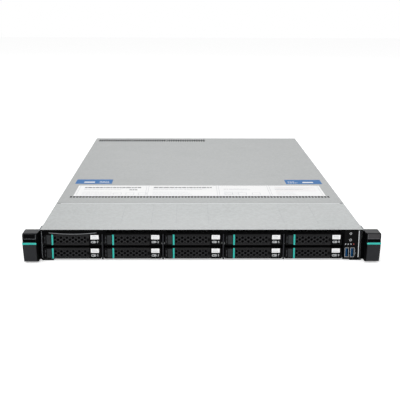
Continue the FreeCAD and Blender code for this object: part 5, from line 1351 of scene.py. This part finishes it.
@dataclass
class Boards:
    """The main board, backplane, memory, heat sinks, shroud and data cables."""

    board: Row = (-62.4, 214.0, 388.8, 724.8)
    riser_x: Pair = (86.0, 89.0)
    inset: float = 7.5
    seed: int = 11
    free: tuple[Row, ...] = (
        (-58.0, 84.0, 604.0, 706.0), (94.0, 208.0, 600.0, 716.0), (-26.0, 206.0, 396.0, 436.0))
    part_area: float = 90.0
    coil: Point = (12.0, 9.0, 6.0)
    coil_room: float = 26.0
    can: Point = (9.0, 3.2, 7.0)
    can_room: float = 22.0
    part_sizes: tuple[Pair, ...] = ((1.6, 0.8), (0.8, 1.6), (3.2, 1.6), (2.0, 2.6))
    chips: tuple[Row, ...] = (
        (0.0, 30.0, 640.0, 670.0, 2.2), (-50.0, -36.0, 650.0, 664.0, 1.2), (50.0, 68.0, 656.0, 674.0, 1.4),
        (120.0, 134.0, 660.0, 674.0, 1.2), (160.0, 182.0, 640.0, 662.0, 1.4))
    module_pitch: float = 7.6
    outer_module: float = 111.2
    sink_width: float = 78.0
    sink_top: float = 38.3
    floor: float = 1.2
    cable_foot: float = 11.8
    cable_gap: float = 0.8
    jaw: float = 3.2
    jaw_top: float = 19.0
    saddle: float = 4.0
    lanes: Pair = (-138.4, -132.4)
    saddles_y: Row = (195.0, 250.0, 305.0, 360.0)
    crossing_x: float = -81.0
    crossings_y: Pair = (433.8, 408.8)
    bends: tuple[Pair, ...] = ((-128.3, 423.7), (-123.0, 399.4))

    def build(self) -> None:
        """Dresses the boards and what stands on them, then adds their components."""
        self.main_board()
        self.components()
        self.backplane()
        self.memory()
        self.sinks()
        dress("air_shroud", SHROUD_PLASTIC, 0.3)
        dress("data_cables", CABLE_SLEEVE)
        self.cable_saddles()

    def cable_saddles(self) -> None:
        """Nylon saddles on the floor that carry both data cables on edge, and a rest under each bend."""
        low, foot, gap, jaw, half = self.floor, self.cable_foot, self.cable_gap, self.jaw, self.saddle
        a, b = self.lanes
        boxes = []
        for y in self.saddles_y:
            y0, y1 = y - half, y + half
            boxes.append((a - jaw, b + jaw, y0, y1, low, foot))
            boxes += [(x0, x1, y0, y1, foot, self.jaw_top)
                      for x0, x1 in ((a - jaw, a - gap), (a + gap, b - gap), (b + gap, b + jaw))]
        x0, x1 = self.crossing_x - half, self.crossing_x + half
        for y in self.crossings_y:
            boxes.append((x0, x1, y - jaw, y + jaw, low, foot))
            boxes += [(x0, x1, y0, y1, foot, self.jaw_top)
                      for y0, y1 in ((y - jaw, y - gap), (y + gap, y + jaw))]
        boxes += [(x - half, x + half, y - half, y + half, low, foot) for x, y in self.bends]
        blocks("cable_saddles", boxes, PALE_PLASTIC)

    def main_board(self) -> None:
        """Green board, black sockets on it and screws near its corners."""
        board = dress("motherboard", BOARD_GREEN)
        left, right = self.riser_x
        part_finish(board, BLACK_INSERT, lambda m: m.z > BOARD_TOP + 0.05 and not left < m.x < right)
        x0, _, y0, y1 = self.board
        x1 = millimetres("motherboard")[1][0]
        places = [(x, y, BOARD_TOP) for x in (x0 + self.inset, x1 - self.inset)
                  for y in (y0 + self.inset, y1 - self.inset)]
        screw_heads("main_board_screws", places, 2.6, (0, 0, 1))

    def components(self) -> None:
        """Chips, coils, capacitors and small parts on the free stretches of the main board."""
        rng = random.Random(self.seed)
        small, coils, cans = [], [], []
        top, (coil_pitch, side, high), (can_pitch, radius, tall) = BOARD_TOP, self.coil, self.can
        for x0, x1, y0, y1 in self.free:
            for _ in range(int((x1 - x0) * (y1 - y0) / self.part_area)):
                x, y = rng.uniform(x0, x1), rng.uniform(y0, y1)
                w, d = rng.choice(self.part_sizes)
                small.append((x, x + w, y, y + d, top, top + 0.7))
            coils += [(x0 + 6 + coil_pitch * k, x0 + 6 + side + coil_pitch * k, y0 + 3, y0 + 3 + side, top,
                       top + high) for k in range(int((x1 - x0) / self.coil_room))]
            cans += [(x0 + 8 + can_pitch * k, y0 + 20, top) for k in range(int((x1 - x0) / self.can_room))]
        blocks("small_board_parts", small, CERAMIC)
        blocks("power_coils", coils, CHIP_BLACK, CHASSIS, 0.5)
        discs("capacitors", cans, radius, tall, (0, 0, 1), NICKEL, CHASSIS)
        blocks("board_chips", [(x0, x1, y0, y1, top, top + high) for x0, x1, y0, y1, high in self.chips],
               CHIP_BLACK, CHASSIS, 0.2)
        row_of_blocks("riser_contacts", 40, (86.2, 612, 12.0), (0, 2.1, 0), (1.0, 1.2, 4.0), GOLD)

    def backplane(self) -> None:
        """The green backplane with black sockets and a row of small parts."""
        back = dress("backplane", BOARD_GREEN)
        x, y, _ = millimetres("backplane")[0]
        front, rear = y + 6.5, y + 8.9
        part_finish(back, BLACK_INSERT, lambda m: not front - 0.05 < m.y < rear + 0.05)
        row_of_blocks("backplane_parts", 48, (x + 8, rear + 0.5, 37.5), (8.2, 0, 0), (3.4, 1.0, 1.8), CERAMIC)

    def memory(self) -> None:
        """Memory modules with heat spreaders, a pale label on each and pale latches at both ends."""
        dress("memory_modules", SPREADER, 0.15)
        low, high = millimetres("memory_modules")
        labels, latches = [], []
        middle = (self.board[0] + self.board[1]) / 2
        places = [middle + (k - 2.5) * self.module_pitch for k in range(6)]
        places += [middle + way * (self.outer_module + k * self.module_pitch)
                   for _, way in SIDES for k in range(3)]
        for x in places:
            labels.append((x - 1.76, x + 1.76, low[1] + 40, low[1] + 86, high[2] - 9, high[2] - 2))
            latches += [(x - 2.4, x + 2.4, y, y + 3.4, BOARD_TOP, BOARD_TOP + 16)
                        for y in (low[1] - 4.6, high[1] + 1.2)]
        blocks("memory_labels", labels, WHITE_LABEL)
        blocks("memory_latches", latches, PALE_PLASTIC, CHASSIS, 0.5)

    def sinks(self) -> None:
        """Aluminium fins with four sprung screws each."""
        dress("heat_sinks", EXTRUDED)
        low, high = millimetres("heat_sinks")
        wide = self.sink_width
        places = [(x + dx, y, self.sink_top - 1.2) for x in (low[0], high[0] - wide)
                  for dx in (9.0, wide - 9.0) for y in (low[1] + 12, high[1] - 12)]
        discs("heat_sink_screws", places, 3.4, 1.6, (0, 0, 1), NICKEL, CHASSIS, 24, 0.8)


@dataclass
class Fans:
    """Five fans behind their partition: black frames and rotors, with a pale hub label each."""

    count: int = 5
    hub_label: Pair = (7.6, 0.14)
    bush_x: float = 16.5
    bush_z: float = 20.0

    def build(self) -> None:
        """Dresses the frames and rotors and adds the hub labels and corner bushes."""
        frames = dress("fan_frames", TRAY_PLASTIC)
        low, high = millimetres("fan_frames")
        part_finish(frames, BASE_SHEET, lambda m: m.y < low[1] + 1.25)
        bushes = []
        for fan in range(self.count):
            node = f"fan_rotor_{fan}"
            dress(node, FAN_PLASTIC, 0.2)
            a, b = millimetres(node)
            x, z = (a[0] + b[0]) / 2, (a[2] + b[2]) / 2
            discs(f"fan_hub_label_{fan}", [(x, a[1] - 0.1, z)], *self.hub_label, (0, 1, 0), WHITE_LABEL, node,
                  32)
            bushes += [(x + way * self.bush_x, high[1] - 3.0, z + self.bush_z) for _, way in SIDES]
        discs("fan_corner_bushes", bushes, 2.2, 0.5, (0, 0, 1), BUSH_RUBBER, CHASSIS, 16)


# ---- studio

@dataclass
class Studio:
    """Camera, pale floor, white surroundings and soft lamps."""

    eye: Point = (-0.02138, -1.09972, 0.35332)
    pitch: float = 13.828
    yaw: float = 0.960
    roll: float = 0.231
    lens: float = 75.36
    floor: float = 6.0
    floor_glow: float = 0.46
    ambient: float = 0.55
    walls: Pair = (1.05, 0.8)
    key: float = 38.0
    fill: float = 9.5
    back: float = 13.0

    def build(self) -> None:
        """Makes the scene that the server stands in, shown with plain colours."""
        bpy.context.scene.view_settings.view_transform = "Standard"
        self.camera()
        self.floor_plane()
        self.surroundings()
        self.lamp("key_lamp", (-1.1, -1.6, 2.2), 1.8, self.key)
        self.lamp("fill_lamp", (1.7, -1.3, 1.3), 1.6, self.fill)
        self.lamp("back_lamp", (0.3, 2.2, 1.9), 1.8, self.back)

    def camera(self) -> None:
        """The camera, a little above the server and in front of it."""
        data = bpy.data.cameras.new("camera")
        data.lens, data.sensor_width = self.lens, 36.0
        data.clip_start, data.clip_end = 0.05, 50.0
        made = stand("camera", data)
        turn = Matrix.Rotation(-math.radians(self.yaw), 4, "Z") \
            @ Matrix.Rotation(math.radians(90 - self.pitch), 4, "X") \
            @ Matrix.Rotation(math.radians(self.roll), 4, "Z")
        made.matrix_world = Matrix.Translation(self.eye) @ turn
        bpy.context.scene.camera = made

    def floor_plane(self) -> None:
        """A wide pale floor that turns white where no shadow falls."""
        shape = bmesh.new()
        bmesh.ops.create_grid(shape, x_segments=1, y_segments=1, size=self.floor,
                              matrix=Matrix.Translation((0, 0, -0.0005)))
        mesh = bpy.data.meshes.new("floor")
        shape.to_mesh(mesh)
        shape.free()
        material = bpy.data.materials.new("pale_floor")
        material.use_nodes = True
        tree = material.node_tree
        tree.nodes.clear()
        diffuse = out(tree, "ShaderNodeBsdfDiffuse", {"Color": linear("#f4f4f4")})
        strength = calc(tree, "MULTIPLY", self._seen(tree), self.floor_glow)
        glow = out(tree, "ShaderNodeEmission", {"Strength": strength})
        both = out(tree, "ShaderNodeAddShader", {0: diffuse, 1: glow})
        add(tree, "ShaderNodeOutputMaterial", {"Surface": both})
        mesh.materials.append(material)
        floor = stand("floor", mesh)

    def surroundings(self) -> None:
        """A white world for the eye, a soft grey one for the light, dimmer at the right in reflections."""
        world = bpy.data.worlds.new("studio")
        world.use_nodes = True
        tree = world.node_tree
        tree.nodes.clear()
        plain = out(tree, "ShaderNodeBackground", {"Color": linear("#ffffff"), "Strength": self.ambient})
        place = add(tree, "ShaderNodeTexCoord").outputs["Object"]
        way = out(tree, "ShaderNodeSeparateXYZ", {0: place})
        dim = out(tree, "ShaderNodeMapRange", {0: way, 1: -0.2, 2: 0.3, 3: self.walls[0], 4: self.walls[1]})
        eye = add(tree, "ShaderNodeLightPath").outputs["Is Camera Ray"]
        shown = out(tree, "ShaderNodeMix", {0: eye, 2: dim, 3: 1.0})
        white = out(tree, "ShaderNodeBackground", {"Color": linear("#ffffff"), "Strength": shown})
        mix = out(tree, "ShaderNodeMixShader", {0: self._seen(tree), 1: plain, 2: white})
        add(tree, "ShaderNodeOutputWorld", {"Surface": mix})
        bpy.context.scene.world = world

    def _seen(self, tree: Tree) -> Socket:
        """One where a ray comes from the camera, a glossy surface or glass, and zero for light.

        Args:
            tree: the shader tree that asks.

        Returns:
            The socket that carries it.
        """
        path = add(tree, "ShaderNodeLightPath").outputs
        seen = calc(tree, "MAXIMUM", path["Is Camera Ray"], path["Is Glossy Ray"])
        return calc(tree, "MAXIMUM", seen, path["Is Transmission Ray"])

    def lamp(self, name: str, place: Point, size: float, power: float) -> None:
        """A square soft lamp that looks at the server's middle.

        Args:
            name: the lamp's name.
            place: where it hangs, in metres.
            size: its side, in metres.
            power: its power, in watts.
        """
        data = bpy.data.lights.new(name, "AREA")
        data.size, data.energy = size, power
        made = stand(name, data)
        toward = Vector((0.0, 0.25, 0.02)) - Vector(place)
        made.rotation_euler = toward.to_track_quat("-Z", "Y").to_euler()
        made.location = place


def main() -> None:
    """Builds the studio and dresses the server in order."""
    logging.basicConfig(level=logging.INFO, format="%(message)s")
    stages = [("studio", Studio()), ("covers", Covers()), ("front frame", FrontFrame()), ("body", Body()),
              ("boards", Boards()), ("fans", Fans())]
    stages += [(f"{side} ear", Ear(side)) for side in ("left", "right")]
    stages += [(f"drive bay {bay}", DriveBay(bay)) for bay in range(BAYS)]
    stages += [(f"power supply {bay}", PowerSupply(bay)) for bay in range(SUPPLIES)]
    for name, stage in stages:
        stage.build()
        LOG.info("built the %s", name)


if __name__ == "__main__":
    main()
